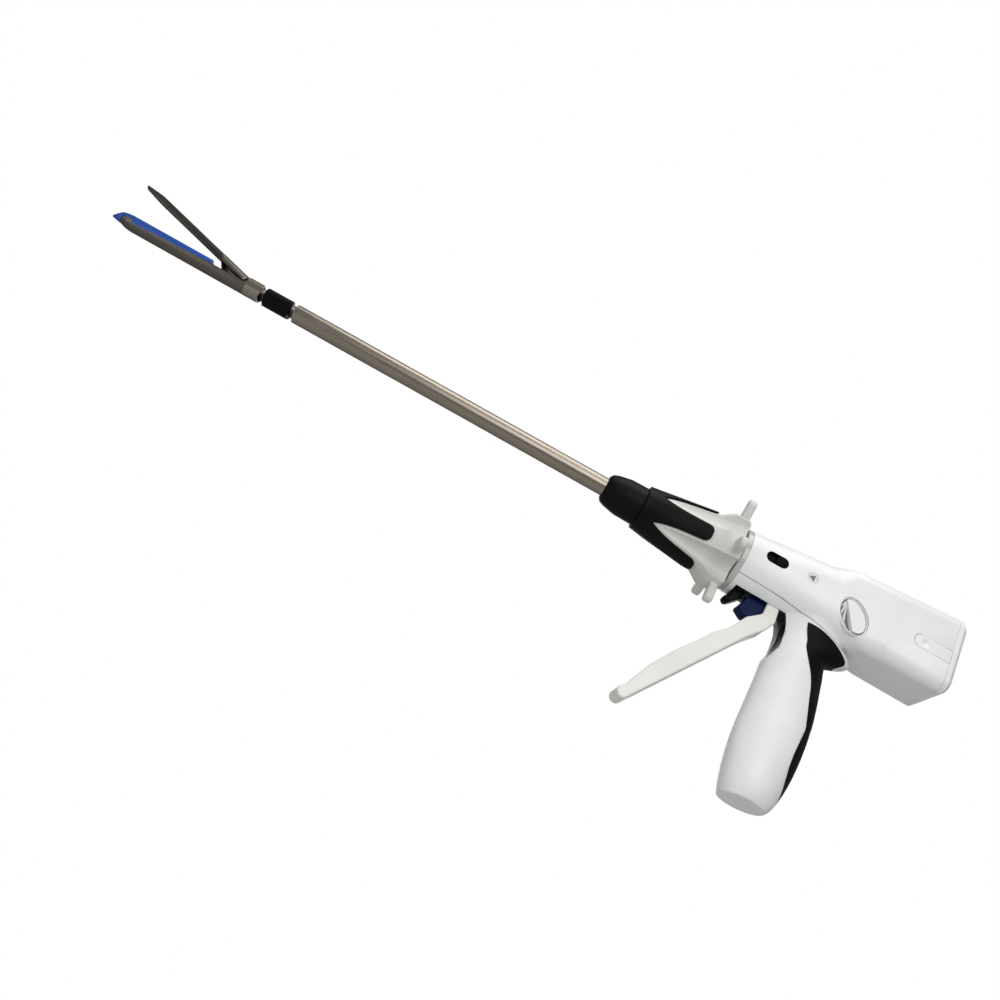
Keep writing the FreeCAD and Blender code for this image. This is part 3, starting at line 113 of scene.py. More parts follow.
class Net:
    """The node tree of one material, with its shader."""

    def __init__(self, name):
        self.material = bpy.data.materials.new(name)
        self.material.use_nodes = True
        self.tree = self.material.node_tree
        self.tree.nodes.clear()
        self.shader = self.tree.nodes.new("ShaderNodeBsdfPrincipled")
        end = self.tree.nodes.new("ShaderNodeOutputMaterial")
        self.tree.links.new(self.shader.outputs["BSDF"], end.inputs["Surface"])

    def node(self, kind, settings=None, sockets=None):
        """Adds a node, sets it up, then fills its sockets with numbers or links."""
        made = self.tree.nodes.new(kind)
        for key, value in (settings or {}).items():
            if key == "stops":
                self.stops(made.color_ramp, value)
            else:
                setattr(made, key, value)
        for key, value in (sockets or {}).items():
            self.fill(made.inputs[key], value)
        return Value(self, made.outputs[0])

    def stops(self, ramp, stops):
        """Lays a ramp's stops, each a position and a grey or a colour."""
        while len(ramp.elements) < len(stops):
            ramp.elements.new(0.5)
        for element, (position, shade) in zip(ramp.elements, stops):
            element.position = position
            element.color = (shade, shade, shade, 1) if isinstance(shade, (int, float)) else (*shade, 1)

    def fill(self, socket, value):
        """Links a value to a socket, or sets a plain number or colour on it."""
        if isinstance(value, Value):
            self.tree.links.new(value.socket, socket)
        elif socket.type == "RGBA" and not isinstance(value, (int, float)):
            socket.default_value = (*value[:3], 1)
        else:
            socket.default_value = value

    def maths(self, operation, *values):
        """One Math node."""
        made = self.tree.nodes.new("ShaderNodeMath")
        made.operation = operation
        for socket, value in zip(made.inputs, values):
            self.fill(socket, value)
        return Value(self, made.outputs[0])

    def place(self, turn=(0, 0, 0), move=(0, 0, 0), scale=(1, 1, 1)):
        """Object coordinates, moved and turned for one pattern."""
        point = self.node("ShaderNodeTexCoord").output("Object")
        return self.node("ShaderNodeMapping", None,
                         {"Vector": point, "Location": move, "Rotation": turn, "Scale": scale})

    def noise(self, scale, detail=3, rough=0.5, stretch=(1, 1, 1)):
        """Noise whose grain is 1 / scale metres."""
        point = self.place(scale=stretch)
        return self.node("ShaderNodeTexNoise", None,
                         {"Vector": point, "Scale": scale, "Detail": detail, "Roughness": rough})

    def span(self, value, low, high, start=0, end=1):
        """Maps low..high of a value to start..end, without passing either."""
        return self.node("ShaderNodeMapRange", {"clamp": True},
                         {"Value": value, "From Min": low, "From Max": high, "To Min": start, "To Max": end})

    def mix(self, share, first, second):
        """Mixes two colours."""
        made = self.tree.nodes.new("ShaderNodeMix")
        made.data_type = "RGBA"
        for key, value in ((0, share), (6, first), (7, second)):
            self.fill(made.inputs[key], value)
        return Value(self, made.outputs[2])

    def bump(self, height, distance, strength=1.0, below=None):
        """Raises the surface by a height times a distance in metres."""
        sockets = {"Height": height, "Distance": distance, "Strength": strength}
        if below is not None:
            sockets["Normal"] = below
        return self.node("ShaderNodeBump", None, sockets)

    def surface(self, **sockets):
        """Fills the shader's sockets, with spaces in their names written as underscores."""
        for key, value in sockets.items():
            self.fill(self.shader.inputs[key.replace("_", " ")], value)
        return self.material


def shade(colour, factor):
    """A lighter or darker version of a colour."""
    return tuple(min(1.0, part * factor) for part in colour[:3])


# Finishes

# The seam's height is a polynomial of the place along the handle, which is moved and scaled by these, in mm
SEAM_MOVE, SEAM_SCALE = 135, 60
SEAM_CURVE = (-0.9315, -1.3558, 2.6107, 2.8533, -6.7902, 5.8091, -16.8691)
# Distances from the seam's middle at which the groove's bump and its painted shade start to fade and have
# ended, in mm
SEAM_CORE, SEAM_HALF = 0.12, 0.34


def seam_line(net):
    """Mask for the seam's groove bump and its painted shade: one on the line where the barrel shells meet the
    grip shells, and zero beside it.
    """
    axes = net.node("ShaderNodeSeparateXYZ", None, {"Vector": net.place(scale=(1 / MM, 1 / MM, 1 / MM))})
    place, height = (axes + SEAM_MOVE) / SEAM_SCALE, axes.output("Z")
    line = place * SEAM_CURVE[0] + SEAM_CURVE[1]
    for part in SEAM_CURVE[2:]:
        line = line * place + part
    return net.span(abs(height - line), SEAM_CORE, SEAM_HALF, 1, 0)


def moulded(name, colour, rough=0.42, grain=0.00035, relief=0.00002, coat=0.0, drift=0.05, shine=0.42,
            seam=False):
    """Moulded plastic with a spark texture, slow colour drift, faint handling marks and perhaps a seam: a
    bumped groove with painted shade that darkens its colour.
    """
    net = Net(name)
    grit = net.noise(1 / grain, 2)
    slow = net.noise(28, 3)
    rubs = net.span(net.noise(300, 4, 0.6, (0.25, 1, 1)), 0.60, 0.78)
    tint = net.mix(net.span(slow, 0.35, 0.65), shade(colour, 1 - drift), shade(colour, 1 + drift * 0.4))
    tint = net.mix(rubs * 0.25, tint, shade(colour, 0.93))
    normal = net.bump(grit, relief, 0.7)
    if seam:
        groove_and_shade = seam_line(net)
        # Painted shade: the seam's colour is darkened toward a quarter, standing in for the shade in the groove
        # between the shells
        tint = net.mix(groove_and_shade * 0.75, tint, shade(colour, 0.25))
        normal = net.bump(groove_and_shade * -1, 0.00025, 0.8, normal)
    return net.surface(
        Base_Color=tint,
        Roughness=net.span(grit, 0.3, 0.7, rough - 0.05, rough + 0.07) - rubs * 0.08,
        Coat_Weight=coat, Coat_Roughness=0.18, Specular_IOR_Level=shine,
        Normal=normal,
    )


def soft_black(name, colour):
    """Dark overmoulding with a matt leathery grain and pale rubbed spots."""
    net = Net(name)
    cells = net.node("ShaderNodeTexVoronoi", {"feature": "DISTANCE_TO_EDGE"},
                     {"Vector": net.place(), "Scale": 1500})
    grit = net.noise(3800, 2)
    slow = net.span(net.noise(60, 3), 0.4, 0.7)
    height = net.span(cells, 0.0, 0.22) * 0.7 + grit * 0.5
    return net.surface(
        Base_Color=net.mix(slow * 0.5, colour, shade(colour, 1.9)),
        Roughness=net.span(grit, 0.3, 0.7, 0.38, 0.52),
        Specular_IOR_Level=0.08,
        Normal=net.bump(height, 0.00002, 0.45),
    )


def metal(name, colour, rough=0.3, along=(0.03, 1, 1)):
    """Satin metal with fine drawn lines, small stains and light scratches."""
    net = Net(name)
    lines = net.noise(2600, 3, 0.6, along)
    wide = net.noise(900, 3, 0.55, along)
    stain = net.span(net.noise(40, 4, 0.6), 0.45, 0.75)
    scratch = net.span(net.noise(1500, 2, 0.5, (0.05, 1.4, 1.4)), 0.68, 0.74)
    drawn = net.span(lines * 0.6 + wide * 0.4, 0.35, 0.65)
    tone = net.mix(drawn, shade(colour, 0.93), shade(colour, 1.07))
    return net.surface(
        Base_Color=net.mix(stain * 0.12, tone, shade(colour, 0.82)),
        Metallic=1.0,
        Roughness=net.span(lines, 0.3, 0.7, rough - 0.04, rough + 0.05) + stain * 0.04 - scratch * 0.06,
        Normal=net.bump(lines * 0.6 + scratch * -0.5, 0.000001, 0.3),
    )


# Directions of the three sides of the lamp's triangle, in degrees
MARK_TURNS = (63.2, 183.2, 303.2)


def lamp_pad(name, colour, centre, mark):
    """Pale lamp pad with a plain grey triangle printed on it."""
    net = Net(name)
    point = net.place(move=(-centre[0], 0, -centre[1]))
    axes = net.node("ShaderNodeSeparateXYZ", None, {"Vector": point})
    x, z = axes, axes.output("Z")
    inside = None
    for turn in MARK_TURNS:
        side = x * math.cos(math.radians(turn)) + z * math.sin(math.radians(turn))
        half = net.span(side, 0.00130, 0.00145, 1, 0)
        inside = half if inside is None else inside * half
    grit = net.noise(3000, 2)
    cloud = net.span(net.noise(180, 3), 0.35, 0.65)
    plain = net.mix(cloud, shade(colour, 0.95), colour)
    return net.surface(
        Base_Color=net.mix(inside, plain, mark),
        Roughness=net.span(grit, 0.3, 0.7, 0.22, 0.32),
        Coat_Weight=0.3, Coat_Roughness=0.1,
        Normal=net.bump(grit, 0.000008, 0.5),
    )


def board(name, colour):
    """Circuit board with faint tracks."""
    net = Net(name)
    tracks = net.node("ShaderNodeTexBrick", {"offset": 0.5},
                      {"Vector": net.place(), "Color1": (0, 0, 0), "Color2": (0.4, 0.4, 0.4),
                       "Mortar": (1, 1, 1), "Scale": 320, "Mortar Size": 0.04})
    return net.surface(Base_Color=net.mix(tracks, colour, shade(colour, 2.2)), Roughness=0.4)


# Shapes

def finished(name, shape, material, body, smooth=35):
    """Makes a piece from a bmesh, in place, and lets it ride on its body."""
    mesh = bpy.data.meshes.new(name)
    shape.to_mesh(mesh)
    shape.free()
    for face in mesh.polygons:
        face.use_smooth = True
    mesh.set_sharp_from_angle(angle=math.radians(smooth))
    mesh.materials.append(material)
    piece = bpy.data.objects.new(name, mesh)
    bpy.context.scene.collection.objects.link(piece)
    weights = piece.modifiers.new("even faces", "WEIGHTED_NORMAL")
    weights.keep_sharp = True
    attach(piece, body)
    return piece


def body_of(node):
    """The body that a CAD node rides on."""
    return frame["nodes"][node]["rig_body"]


def slot_of(node):
    """The record's material slot of a CAD node."""
    rows = frame["record"]["subparts"]
    return next(row["material_slot"] for row in rows if row["node"] == node)


def merged(node):
    """A bmesh of a CAD node's solid, with its loose triangles merged and flat areas joined."""
    shape = bmesh.new()
    shape.from_mesh(frame["nodes"][node].data)
    bmesh.ops.remove_doubles(shape, verts=shape.verts, dist=2e-6)
    bmesh.ops.dissolve_limit(shape, angle_limit=math.radians(0.4), verts=shape.verts, edges=shape.edges,
                             use_dissolve_boundaries=False, delimit=set())
    return shape


def soften(shape, width, angle=38):
    """Bevels the sharp edges of a shape."""
    sharp = [edge for edge in shape.edges
             if len(edge.link_faces) == 2 and edge.calc_face_angle(0) > math.radians(angle)]
    bmesh.ops.bevel(shape, geom=sharp, offset=width, offset_type="OFFSET", segments=2, profile=0.5,
                    affect="EDGES", material=-1, clamp_overlap=True)


def smooth_curve(table, place):
    """Reads a table of places and amounts, rising in place, as one smooth curve."""
    places = [row[0] for row in table]
    if not places[0] < place < places[-1]:
        return table[0 if place <= places[0] else -1][1]
    last = max(number for number, start in enumerate(places) if start <= place)

    def slope(number):
        before, after = table[max(number - 1, 0)], table[min(number + 1, len(table) - 1)]
        return (after[1] - before[1]) / (after[0] - before[0])

    (low, first), (high, second) = table[last:last + 2]
    gap = high - low
    share = (place - low) / gap
    rest = 1 - share
    return (first * (1 + 2 * share) * rest ** 2 + second * share * share * (3 - 2 * share)
            + gap * share * rest * (slope(last) * rest - slope(last + 1) * share))


def divided(shape, longest, wanted):
    """Divides the long edges of the part of a shape that is wanted, until its triangles are small."""
    bmesh.ops.triangulate(shape, faces=shape.faces)
    for _ in range(5):
        edges = [edge for edge in shape.edges if edge.calc_length() > longest * MM and wanted(edge)]
        if not edges:
            break
        bmesh.ops.subdivide_edges(shape, edges=edges, cuts=1)
        bmesh.ops.triangulate(shape, faces=[face for face in shape.faces if len(face.verts) > 3])


# Height below which the grip's back is moved, in mm
GRIP_TOP = -19
# The grip's front edge, its back as built and its back in the photograph, by height, in mm
GRIP_FRONT = ((-142, -141.2), (-131, -138.6), (-97, -136), (-60, -137), (-35, -135.8), (-19, -132.6))
GRIP_BACK = ((-142, -171.4), (-134, -176.5), (-125, -179), (-115, -182), (-110, -183.3), (-104, -184),
             (-97, -183.3), (-90, -181.3), (-85, -180.1), (-80, -180.3), (-76, -180.8), (-72, -180.7),
             (-68, -179.9), (-60, -177.4), (-56, -176.5), (-53, -176.3), (-50, -176.7), (-46, -178.4),
             (-42, -181.5), (-38, -184.9), (-35, -186.1), (-32, -185.6), (-26, -184.5), (-19, -183.5))
GRIP_LINE = ((-142, -171.4), (-134, -175.8), (-129, -177.4), (-120, -179.2), (-111, -180.3), (-95, -181.3),
             (-80, -181.2), (-66, -179.8), (-49, -177.4), (-42, -175.9), (-38.5, -175.6), (-36, -178.4),
             (-34, -183.2), (-32, -187.6), (-30, -189.4), (-27.5, -189), (-24, -187), (-21.8, -184.8),
             (-19, -183.5))


def slimmed(shape):
    """Moves the back of the grip to the photograph's line, with a thin beak under the battery housing."""
    divided(shape, 3.0, lambda edge: min(vert.co.z for vert in edge.verts) < (GRIP_TOP - 1) * MM)
    for vert in shape.verts:
        x, height = vert.co.x / MM, vert.co.z / MM
        if height < GRIP_TOP:
            front, back = smooth_curve(GRIP_FRONT, height), smooth_curve(GRIP_BACK, height)
            share = min(max((front - x) / (front - back), 0), 1.1)
            vert.co.x += (smooth_curve(GRIP_LINE, height) - back) * share ** 2 * MM


# The ramp before the battery housing: its front and rear line on the axis in mm, and how far they lean per mm
RAMP_BUILT, RAMP_SEEN = (-166, -177, 0.42), (-181, -190, 0.62)
# Half width before the ramp, and how much wider each side is behind it, in mm
BARREL_HALF, RAMP_RISE = 22.4, 2.2


def ramp_share(ramp, x, height):
    """How far up the ramp a place is, from 0 on the barrel to 1 on the battery housing."""
    front, rear, lean = ramp
    return min(max((front + lean * height - x) / (front - rear), 0), 1)


def ramped(shape):
    """Moves the ramp of a barrel shell back to the photograph's line, by its width alone."""
    bmesh.ops.triangulate(shape, faces=shape.faces)
    for front, rear, lean in (RAMP_BUILT, RAMP_SEEN):
        for place in (front, rear):
            bmesh.ops.bisect_plane(shape, geom=[*shape.verts, *shape.edges, *shape.faces], dist=1e-7,
                                   plane_co=(place * MM, 0, 0), plane_no=Vector((1, 0, -lean)).normalized())
    for vert in shape.verts:
        x, height = vert.co.x / MM, vert.co.z / MM
        built = BARREL_HALF + RAMP_RISE * ramp_share(RAMP_BUILT, x, height)
        seen = BARREL_HALF + RAMP_RISE * ramp_share(RAMP_SEEN, x, height)
        vert.co.y *= seen / built


# Longest edge of a lever before it is rounded, in mm, and how far each vertex moves to its neighbours' mean
ROUND_EDGE, ROUND_PULL = 1.4, 0.6


def rounded(shape, pin, reach, turns):
    """Rounds the edges of a lever, except within reach of its pin, in mm."""
    low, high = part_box(pin)
    middle = (low + high) / 2
    divided(shape, ROUND_EDGE, lambda edge: True)
    loose = [vert for vert in shape.verts
             if math.hypot(vert.co.x - middle.x, vert.co.z - middle.z) > reach * MM]
    for _ in range(turns):
        places = [sum((edge.other_vert(vert).co for edge in vert.link_edges), Vector()) / len(vert.link_edges)
                  for vert in loose]
        for vert, place in zip(loose, places):
            vert.co = vert.co.lerp(place, ROUND_PULL)


# The lower jaw: where its low side starts and ends, its edge below the axis, and the edge's fall, in mm
SIDE_START, SIDE_END, SIDE_EDGE, SIDE_FALL = 291.9, 349.7, 1.2, 2.2
# How much higher the cartridge's edge is, the radius inside which nothing moves, and the test's slack, in mm
CARTRIDGE_RISE, SIDE_INNER, SIDE_SLACK = 0.05, 4.6, 0.02
# Cuts along the side, so that it can curve
SIDE_CUTS = 8


def lowered(shape, whole):
    """Lets the edge of the lower jaw's side fall toward the front, round the jaw's axis."""
    bmesh.ops.triangulate(shape, faces=shape.faces)
    length = SIDE_END - SIDE_START
    places = [SIDE_START + length * number / SIDE_CUTS for number in range(SIDE_CUTS + 1)]
    for place in [*places, SIDE_END + 0.2]:
        bmesh.ops.bisect_plane(shape, geom=[*shape.verts, *shape.edges, *shape.faces], dist=1e-7,
                               plane_co=(place * MM, 0, 0), plane_no=(1, 0, 0))
    edge = SIDE_EDGE if whole else SIDE_EDGE - CARTRIDGE_RISE
    bottom = -math.inf if whole else -edge - SIDE_SLACK
    for vert in shape.verts:
        x, y, z = (part / MM for part in vert.co)
        radius = math.hypot(y, z)
        if not SIDE_START < x < SIDE_END + 0.1 or radius < SIDE_INNER:
            continue
        if not bottom <= z <= SIDE_SLACK - edge:
            continue
        fall = SIDE_FALL * (x - SIDE_START) / length
        turn = math.acos(-z / radius) * math.acos((edge + fall) / radius) / math.acos(edge / radius)
        vert.co.y, vert.co.z = math.copysign(radius * math.sin(turn), y) * MM, -radius * math.cos(turn) * MM


# What is changed in the copies of these nodes
CHANGES = {
    "barrel_shell_left": ramped,
    "barrel_shell_right": ramped,
    "firing_trigger": lambda shape: rounded(shape, "trigger_pin", 8, 12),
    "trigger_lock": lambda shape: rounded(shape, "lock_pin", 4.5, 8),
    "grip_shell_left": slimmed,
    "grip_shell_right": slimmed,
    "rear_grip_pad": slimmed,
    "cartridge_channel": lambda shape: lowered(shape, True),
    "staple_cartridge": lambda shape: lowered(shape, False),
}


def dressed(node, material, width=0.0):
    """Puts a copy with merged faces, and with its changes or softened edges, in place of a CAD node."""
    shape = merged(node)
    if node in CHANGES:
        CHANGES[node](shape)
    elif width:
        soften(shape, width * MM)
    bmesh.ops.triangulate(shape, faces=[face for face in shape.faces if len(face.verts) > 4])
    piece = finished(node + "_finish", shape, material, body_of(node))
    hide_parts(node)


# The release well's middle in mm and its slope in degrees, and the half length and width of its oval in mm
WELL_X, WELL_Z, WELL_SLOPE = -174.8, -5.8, 51.5
OVAL_LONG, OVAL_SHORT = 11.2, 7.7
# The paddle's part of the oval in degrees and in steps, its levels across the handle and its fall, in mm
PADDLE_START, PADDLE_END, PADDLE_STEPS = 140.9, 368.7, 40
PADDLE_FOOT, PADDLE_TOP, PADDLE_FALL = 18.6, 22.7, 1.1
# The ribs' ends along and across the well, their half width, and their levels without the rib setting, in mm
RIB_ENDS = (((10.4, 1.1), (8.3, 4.85)), ((9.8, 1.2), (4.05, 6.95)), ((9.2, 1.1), (-1.4, 7.43)))
RIB_HALF, RIB_FOOT, RIB_TOP = 0.45, 18.7, 20.4


def well_point(lengthwise, over):
    """A place along and across the oval release well, as X and Z in mm."""
    angle = math.radians(WELL_SLOPE)
    return (WELL_X + lengthwise * math.cos(angle) + over * math.sin(angle),
            WELL_Z + lengthwise * math.sin(angle) - over * math.cos(angle))


def add_prism(shape, points, low, high):
    """Adds a prism across the handle to a shape, between two levels, and gives the corners of the second."""
    rows = [[shape.verts.new((x * MM, y * MM, z * MM)) for x, z in points] for y in (low, high)]
    count = len(points)
    faces = [shape.faces.new(rows[0]), shape.faces.new(list(reversed(rows[1])))]
    for number in range(count):
        after = (number + 1) % count
        faces.append(shape.faces.new((rows[0][number], rows[1][number], rows[1][after], rows[0][after])))
    bmesh.ops.recalc_face_normals(shape, faces=faces)
    return rows[1]


def release_button(side, rib):
    """Release button: a paddle on the rear side of the well, and three ribs fanned over its front side."""
    node = "release_button_" + ("left" if side > 0 else "right")
    shape = bmesh.new()
    ring = [math.radians(PADDLE_START + (PADDLE_END - PADDLE_START) * number / PADDLE_STEPS)
            for number in range(PADDLE_STEPS + 1)]
    outline = [well_point(OVAL_LONG * math.cos(turn), OVAL_SHORT * math.sin(turn)) for turn in ring]
    top = add_prism(shape, outline, PADDLE_FOOT, PADDLE_TOP)
    for vert, turn in zip(top, ring):
        vert.co.y -= PADDLE_FALL * max(-math.sin(turn), 0) * MM
    for start, end in RIB_ENDS:
        run = Vector(end) - Vector(start)
        over = Vector((-run.y, run.x)).normalized() * RIB_HALF
        corners = [Vector(start) + over, Vector(end) + over, Vector(end) - over, Vector(start) - over]
        add_prism(shape, [well_point(*corner) for corner in corners], RIB_FOOT, RIB_TOP + rib)
    soften(shape, 0.3 * MM, 60)
    if side < 0:
        bmesh.ops.scale(shape, verts=shape.verts, vec=(1, -1, 1))
        bmesh.ops.reverse_faces(shape, faces=shape.faces)
    bmesh.ops.triangulate(shape, faces=[face for face in shape.faces if len(face.verts) > 4])
    piece = finished(node + "_finish", shape, finish_of(slot_of(node)), body_of(node))
    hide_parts(node)


FINISHES = {}


def finish_of(slot):
    """The material of a record slot, made once."""
    if slot not in FINISHES:
        look = bpy.context.scene.stapler_look
        makers = {
            "housing_white": lambda: moulded("housing white", look.housing, 0.40, relief=0.000008, coat=0.05,
                                             seam=True),
            "knob_ivory": lambda: moulded("knob ivory", look.knob, 0.40, relief=0.000012, coat=0.05),
            "trigger_ivory": lambda: moulded("trigger ivory", look.trigger, 0.38, relief=0.000003, coat=0.05),
            "collar_gloss": lambda: moulded("collar gloss", look.collar, 0.16, 0.0009, 0.000004, 0.5, 0.02),
            "soft_black": lambda: soft_black("soft black", look.grip_pad),
            "plain_black": lambda: moulded("plain black", look.black, 0.34, relief=0.000006, drift=0.2,
                                           shine=0.06),
            "plain_grey": lambda: moulded("plain grey", (0.22, 0.23, 0.25), 0.45),
            "cartridge_blue": lambda: moulded("cartridge blue", look.cartridge, 0.36, relief=0.000008, coat=0.1,
                                              drift=0.12),
            "firing_blue": lambda: moulded("firing blue", look.firing, 0.3, relief=0.000005, drift=0.15,
                                           shine=0.08),
            "lamp_clear": lambda: lamp_pad("lamp pad", (0.72, 0.74, 0.75), (-0.1416, 0.004),
                                           (0.16, 0.17, 0.18)),
            "tube_bronze": lambda: metal("tube bronze", look.tube, 0.30),
            "steel_dark": lambda: metal("dark steel", look.jaw, 0.34, (0.15, 1, 1)),
            "steel": lambda: metal("bright steel", (0.58, 0.58, 0.60), 0.28, (1, 0.05, 1)),
            "aluminium": lambda: metal("aluminium", (0.66, 0.67, 0.68), 0.36, (0.2, 1, 1)),
            "board_green": lambda: board("board green", (0.03, 0.16, 0.08)),
        }
        FINISHES[slot] = makers[slot]()
    return FINISHES[slot]


def dress_all(widths):
    """Dresses each named node with its own slot's finish and the edge width given."""
    for node, width in widths.items():
        dressed(node, finish_of(slot_of(node)), width)


# Sizes and colours that a user would change

def colour_setting(name, words, default):
    """A colour setting."""
    return bpy.props.FloatVectorProperty(name=name, description=words, subtype="COLOR", size=3, min=0, max=1,
                                         default=default)


class StaplerLook(bpy.types.PropertyGroup):
    """Colours of the mouldings and metals."""
    housing: colour_setting("Housing", "White of the moulded shells", (0.86, 0.865, 0.87))
    knob: colour_setting("Knob", "Ivory of the turning knob", (0.68, 0.67, 0.63))
    trigger: colour_setting("Closing trigger", "Ivory of the closing trigger", (0.85, 0.84, 0.79))
    collar: colour_setting("Collar", "Grey white of the front collar", (0.5, 0.5, 0.49))
    grip_pad: colour_setting("Grip pad", "Black of the soft pads", (0.004, 0.004, 0.0045))
    black: colour_setting("Black parts", "Black of the switch, lock and sleeve", (0.004, 0.004, 0.0045))
    cartridge: colour_setting("Cartridge", "Blue of the staple cartridge", (0.012, 0.075, 0.36))
    firing: colour_setting("Firing trigger", "Blue of the firing trigger", (0.003, 0.010, 0.060))
    tube: colour_setting("Shaft tube", "Bronze grey of the shaft", (0.27, 0.235, 0.195))
    jaw: colour_setting("Jaws", "Dark steel of the jaws", (0.13, 0.115, 0.098))


class StaplerSizes(bpy.types.PropertyGroup):
    """Small sizes that the dressing adds."""
    rib: bpy.props.FloatProperty(name="Rib", description="Height of the ribs on the release button, in mm",
                                 default=0.6, min=0, max=1)


class HousingPieces(bpy.types.Operator):
    """Dresses the shells, the collar and the soft pad"""
    bl_idname = "stapler.housing"
    bl_label = "Housing"

    def execute(self, context):
        dress_all({
            "barrel_shell_left": 0, "barrel_shell_right": 0, "grip_shell_left": 0, "grip_shell_right": 0,
            "rear_grip_pad": 0, "front_collar": 0.4, "throat_liner": 0, "housing_screws": 0.2,
        })
        return {"FINISHED"}


class ButtonPieces(bpy.types.Operator):
    """Dresses the switch, the lamp and the release buttons"""
    bl_idname = "stapler.buttons"
    bl_label = "Buttons"

    def execute(self, context):
        dress_all({
            "status_lamp": 0.25, "switch_frame": 0.2, "reverse_switch": 0.15, "release_well_left": 0.2,
            "release_well_right": 0.2, "release_bar": 0,
        })
        for side in (1, -1):
            release_button(side, context.scene.stapler_sizes.rib)
        return {"FINISHED"}


class TriggerPieces(bpy.types.Operator):
    """Dresses both triggers, the lock and their pins"""
    bl_idname = "stapler.triggers"
    bl_label = "Triggers"

    def execute(self, context):
        dress_all({
            "closing_trigger": 0, "firing_trigger": 0, "trigger_lock": 0, "trigger_pin": 0.1, "lock_pin": 0.1,
        })
        return {"FINISHED"}


class BatteryPieces(bpy.types.Operator):
    """Dresses the battery cap, its block and its tongues"""
    bl_idname = "stapler.battery"
    bl_label = "Battery"

    def execute(self, context):
        dress_all({
            "battery_cap": 0.3, "battery_cells": 0.4, "battery_latch_left": 0.25, "battery_latch_right": 0.25,
            "contact_plate": 0.2,
        })
        return {"FINISHED"}


class KnobPieces(bpy.types.Operator):
    """Dresses the turning knob and its black cover"""
    bl_idname = "stapler.knob"
    bl_label = "Turning knob"

    def execute(self, context):
        dress_all({"turning_knob": 0.6, "knob_cover": 0.3})
        return {"FINISHED"}


class ShaftPieces(bpy.types.Operator):
    """Dresses the shaft tube and the bending neck"""
    bl_idname = "stapler.shaft"
    bl_label = "Shaft and neck"

    def execute(self, context):
        dress_all({
            "shaft_tube": 0, "shaft_clevis": 0.12, "shaft_pivot_pin": 0.1, "neck_link": 0.12,
            "neck_sleeve": 0, "jaw_collar": 0, "jaw_clevis": 0.12, "jaw_pivot_pin": 0.1,
        })
        return {"FINISHED"}


class JawPieces(bpy.types.Operator):
    """Dresses the jaws, the cartridge and the knife"""
    bl_idname = "stapler.jaws"
    bl_label = "Jaws"

    def execute(self, context):
        dress_all({
            "cartridge_channel": 0, "staple_cartridge": 0, "anvil": 0, "anvil_pin": 0.1, "knife": 0,
        })
        return {"FINISHED"}


class DrivePieces(bpy.types.Operator):
    """Dresses the motor, the gearbox and what they drive"""
    bl_idname = "stapler.drive"
    bl_label = "Drive"

    def execute(self, context):
        dress_all({
            "drive_motor": 0.4, "gearbox": 0.3, "lead_screw": 0.2, "drive_tube": 0.2, "firing_rod": 0.2,
            "inner_frame": 0.2, "circuit_board": 0,
        })
        return {"FINISHED"}


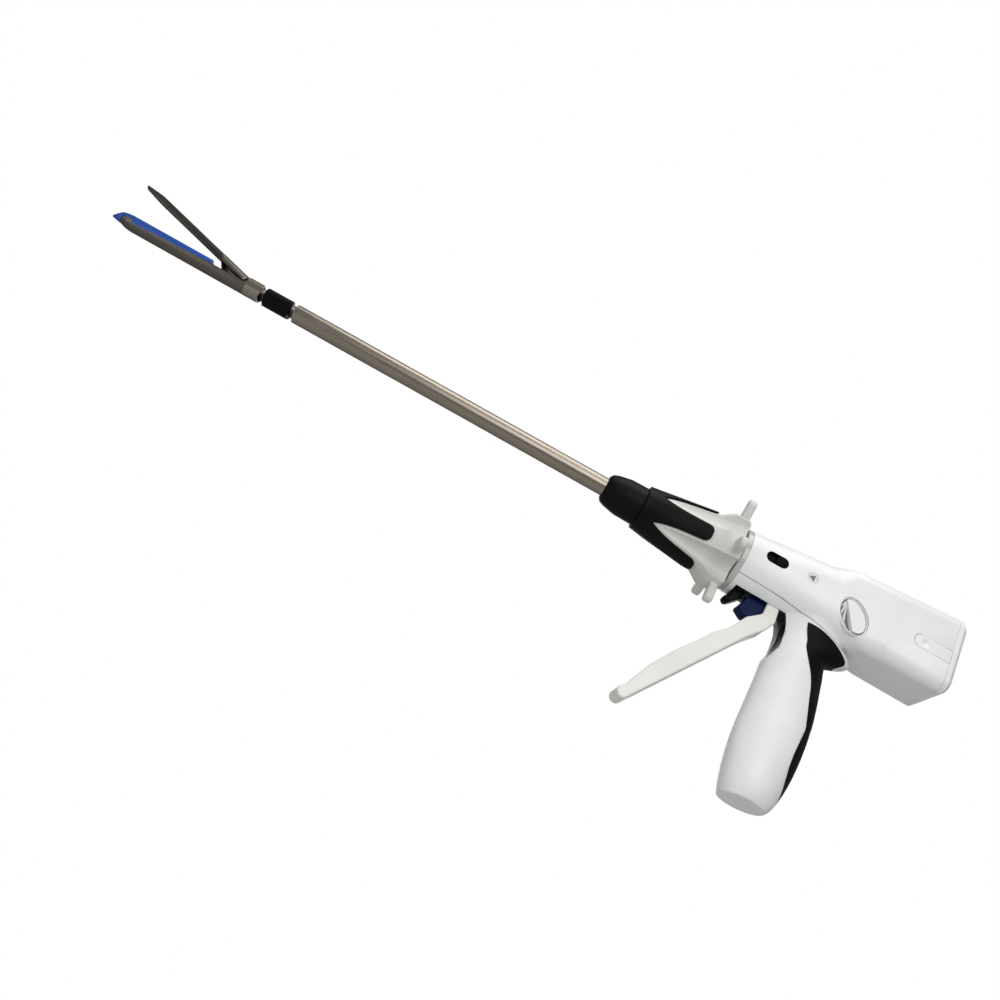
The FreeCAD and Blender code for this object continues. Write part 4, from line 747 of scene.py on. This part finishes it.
class Studio(bpy.types.Operator):
    """Adds the pale floor, the lamps, the world and the camera"""
    bl_idname = "stapler.studio"
    bl_label = "Studio"

    def execute(self, context):
        scene = context.scene
        floor = bmesh.new()
        bmesh.ops.create_grid(floor, x_segments=1, y_segments=1, size=4)
        bmesh.ops.translate(floor, verts=floor.verts, vec=(0, 0, -1.0))
        mesh = bpy.data.meshes.new("floor")
        floor.to_mesh(mesh)
        floor.free()
        pale = Net("pale floor")
        mesh.materials.append(pale.surface(Base_Color=(0.86, 0.86, 0.86), Roughness=0.9))
        ground = bpy.data.objects.new("floor", mesh)
        scene.collection.objects.link(ground)
        self.world(scene)
        for name, place, size, power in (
            ("top lamp", (0.0, 0.45, 1.15), 1.0, 10),
            ("side lamp", (-0.2, 1.3, 0.2), 0.9, 8),
            ("low lamp", (0.9, 0.7, -0.35), 0.8, 2.2),
            ("back lamp", (-0.2, -1.2, 0.5), 1.2, 5),
        ):
            self.lamp(scene, name, place, size, power)
        self.camera(scene)
        scene.view_settings.view_transform = "Standard"
        return {"FINISHED"}

    def lamp(self, scene, name, place, size, power):
        """One square lamp that looks at the middle of the object."""
        light = bpy.data.lights.new(name, "AREA")
        light.size = size
        light.energy = power
        lamp = bpy.data.objects.new(name, light)
        lamp.location = place
        aim = Vector((0.02, 0, -0.03)) - Vector(place)
        lamp.rotation_euler = aim.to_track_quat("-Z", "Y").to_euler()
        scene.collection.objects.link(lamp)

    def world(self, scene):
        """White where the camera or glass looks, and a grey light elsewhere, also in what metal reflects."""
        world = bpy.data.worlds.new("studio")
        world.use_nodes = True
        tree = world.node_tree
        tree.nodes.clear()
        path = tree.nodes.new("ShaderNodeLightPath")
        seen = tree.nodes.new("ShaderNodeMath")
        seen.operation = "MAXIMUM"
        tree.links.new(path.outputs["Is Camera Ray"], seen.inputs[0])
        tree.links.new(path.outputs["Is Transmission Ray"], seen.inputs[1])
        strength = tree.nodes.new("ShaderNodeMapRange")
        strength.inputs["To Min"].default_value = 0.22
        strength.inputs["To Max"].default_value = 1.0
        tree.links.new(seen.outputs[0], strength.inputs["Value"])
        light = tree.nodes.new("ShaderNodeBackground")
        light.inputs["Color"].default_value = (1, 1, 1, 1)
        tree.links.new(strength.outputs[0], light.inputs["Strength"])
        end = tree.nodes.new("ShaderNodeOutputWorld")
        tree.links.new(light.outputs[0], end.inputs["Surface"])
        scene.world = world

    def camera(self, scene):
        """Close view from the left and below, rolled as in the photograph."""
        right = Vector((-0.8722, 0.2144, 0.4396))
        up = Vector((0.4891, 0.3823, 0.7839))
        back = right.cross(up)
        turn = Matrix((right, up, back)).transposed().to_4x4()
        view = bpy.data.cameras.new("photograph view")
        view.sensor_width = 36
        view.lens = 38.81
        view.clip_start = 0.01
        view.clip_end = 50
        camera = bpy.data.objects.new("camera", view)
        camera.matrix_world = Matrix.Translation((0.0552, 0.6114, -0.3433)) @ turn
        scene.collection.objects.link(camera)
        scene.camera = camera


STEPS = (HousingPieces, ButtonPieces, TriggerPieces, BatteryPieces, KnobPieces, ShaftPieces, JawPieces,
         DrivePieces, Studio)


class StaplerPanel(bpy.types.Panel):
    """Lists the pieces of the stapler and its settings"""
    bl_idname = "STAPLER_PT_pieces"
    bl_label = "Stapler"
    bl_space_type = "VIEW_3D"
    bl_region_type = "UI"
    bl_category = "Stapler"

    def draw(self, context):
        for step in STEPS:
            self.layout.operator(step.bl_idname)
        for settings in (context.scene.stapler_look, context.scene.stapler_sizes):
            for name in settings.__annotations__:
                self.layout.prop(settings, name)


CLASSES = (StaplerLook, StaplerSizes, *STEPS, StaplerPanel)


def register():
    for item in CLASSES:
        bpy.utils.register_class(item)
    bpy.types.Scene.stapler_look = bpy.props.PointerProperty(type=StaplerLook)
    bpy.types.Scene.stapler_sizes = bpy.props.PointerProperty(type=StaplerSizes)


def unregister():
    del bpy.types.Scene.stapler_look
    del bpy.types.Scene.stapler_sizes
    for item in reversed(CLASSES):
        bpy.utils.unregister_class(item)


def main():
    """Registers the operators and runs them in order."""
    register()
    for step in STEPS:
        group, name = step.bl_idname.split(".")
        getattr(getattr(bpy.ops, group), name)()


if __name__ == "__main__":
    main()
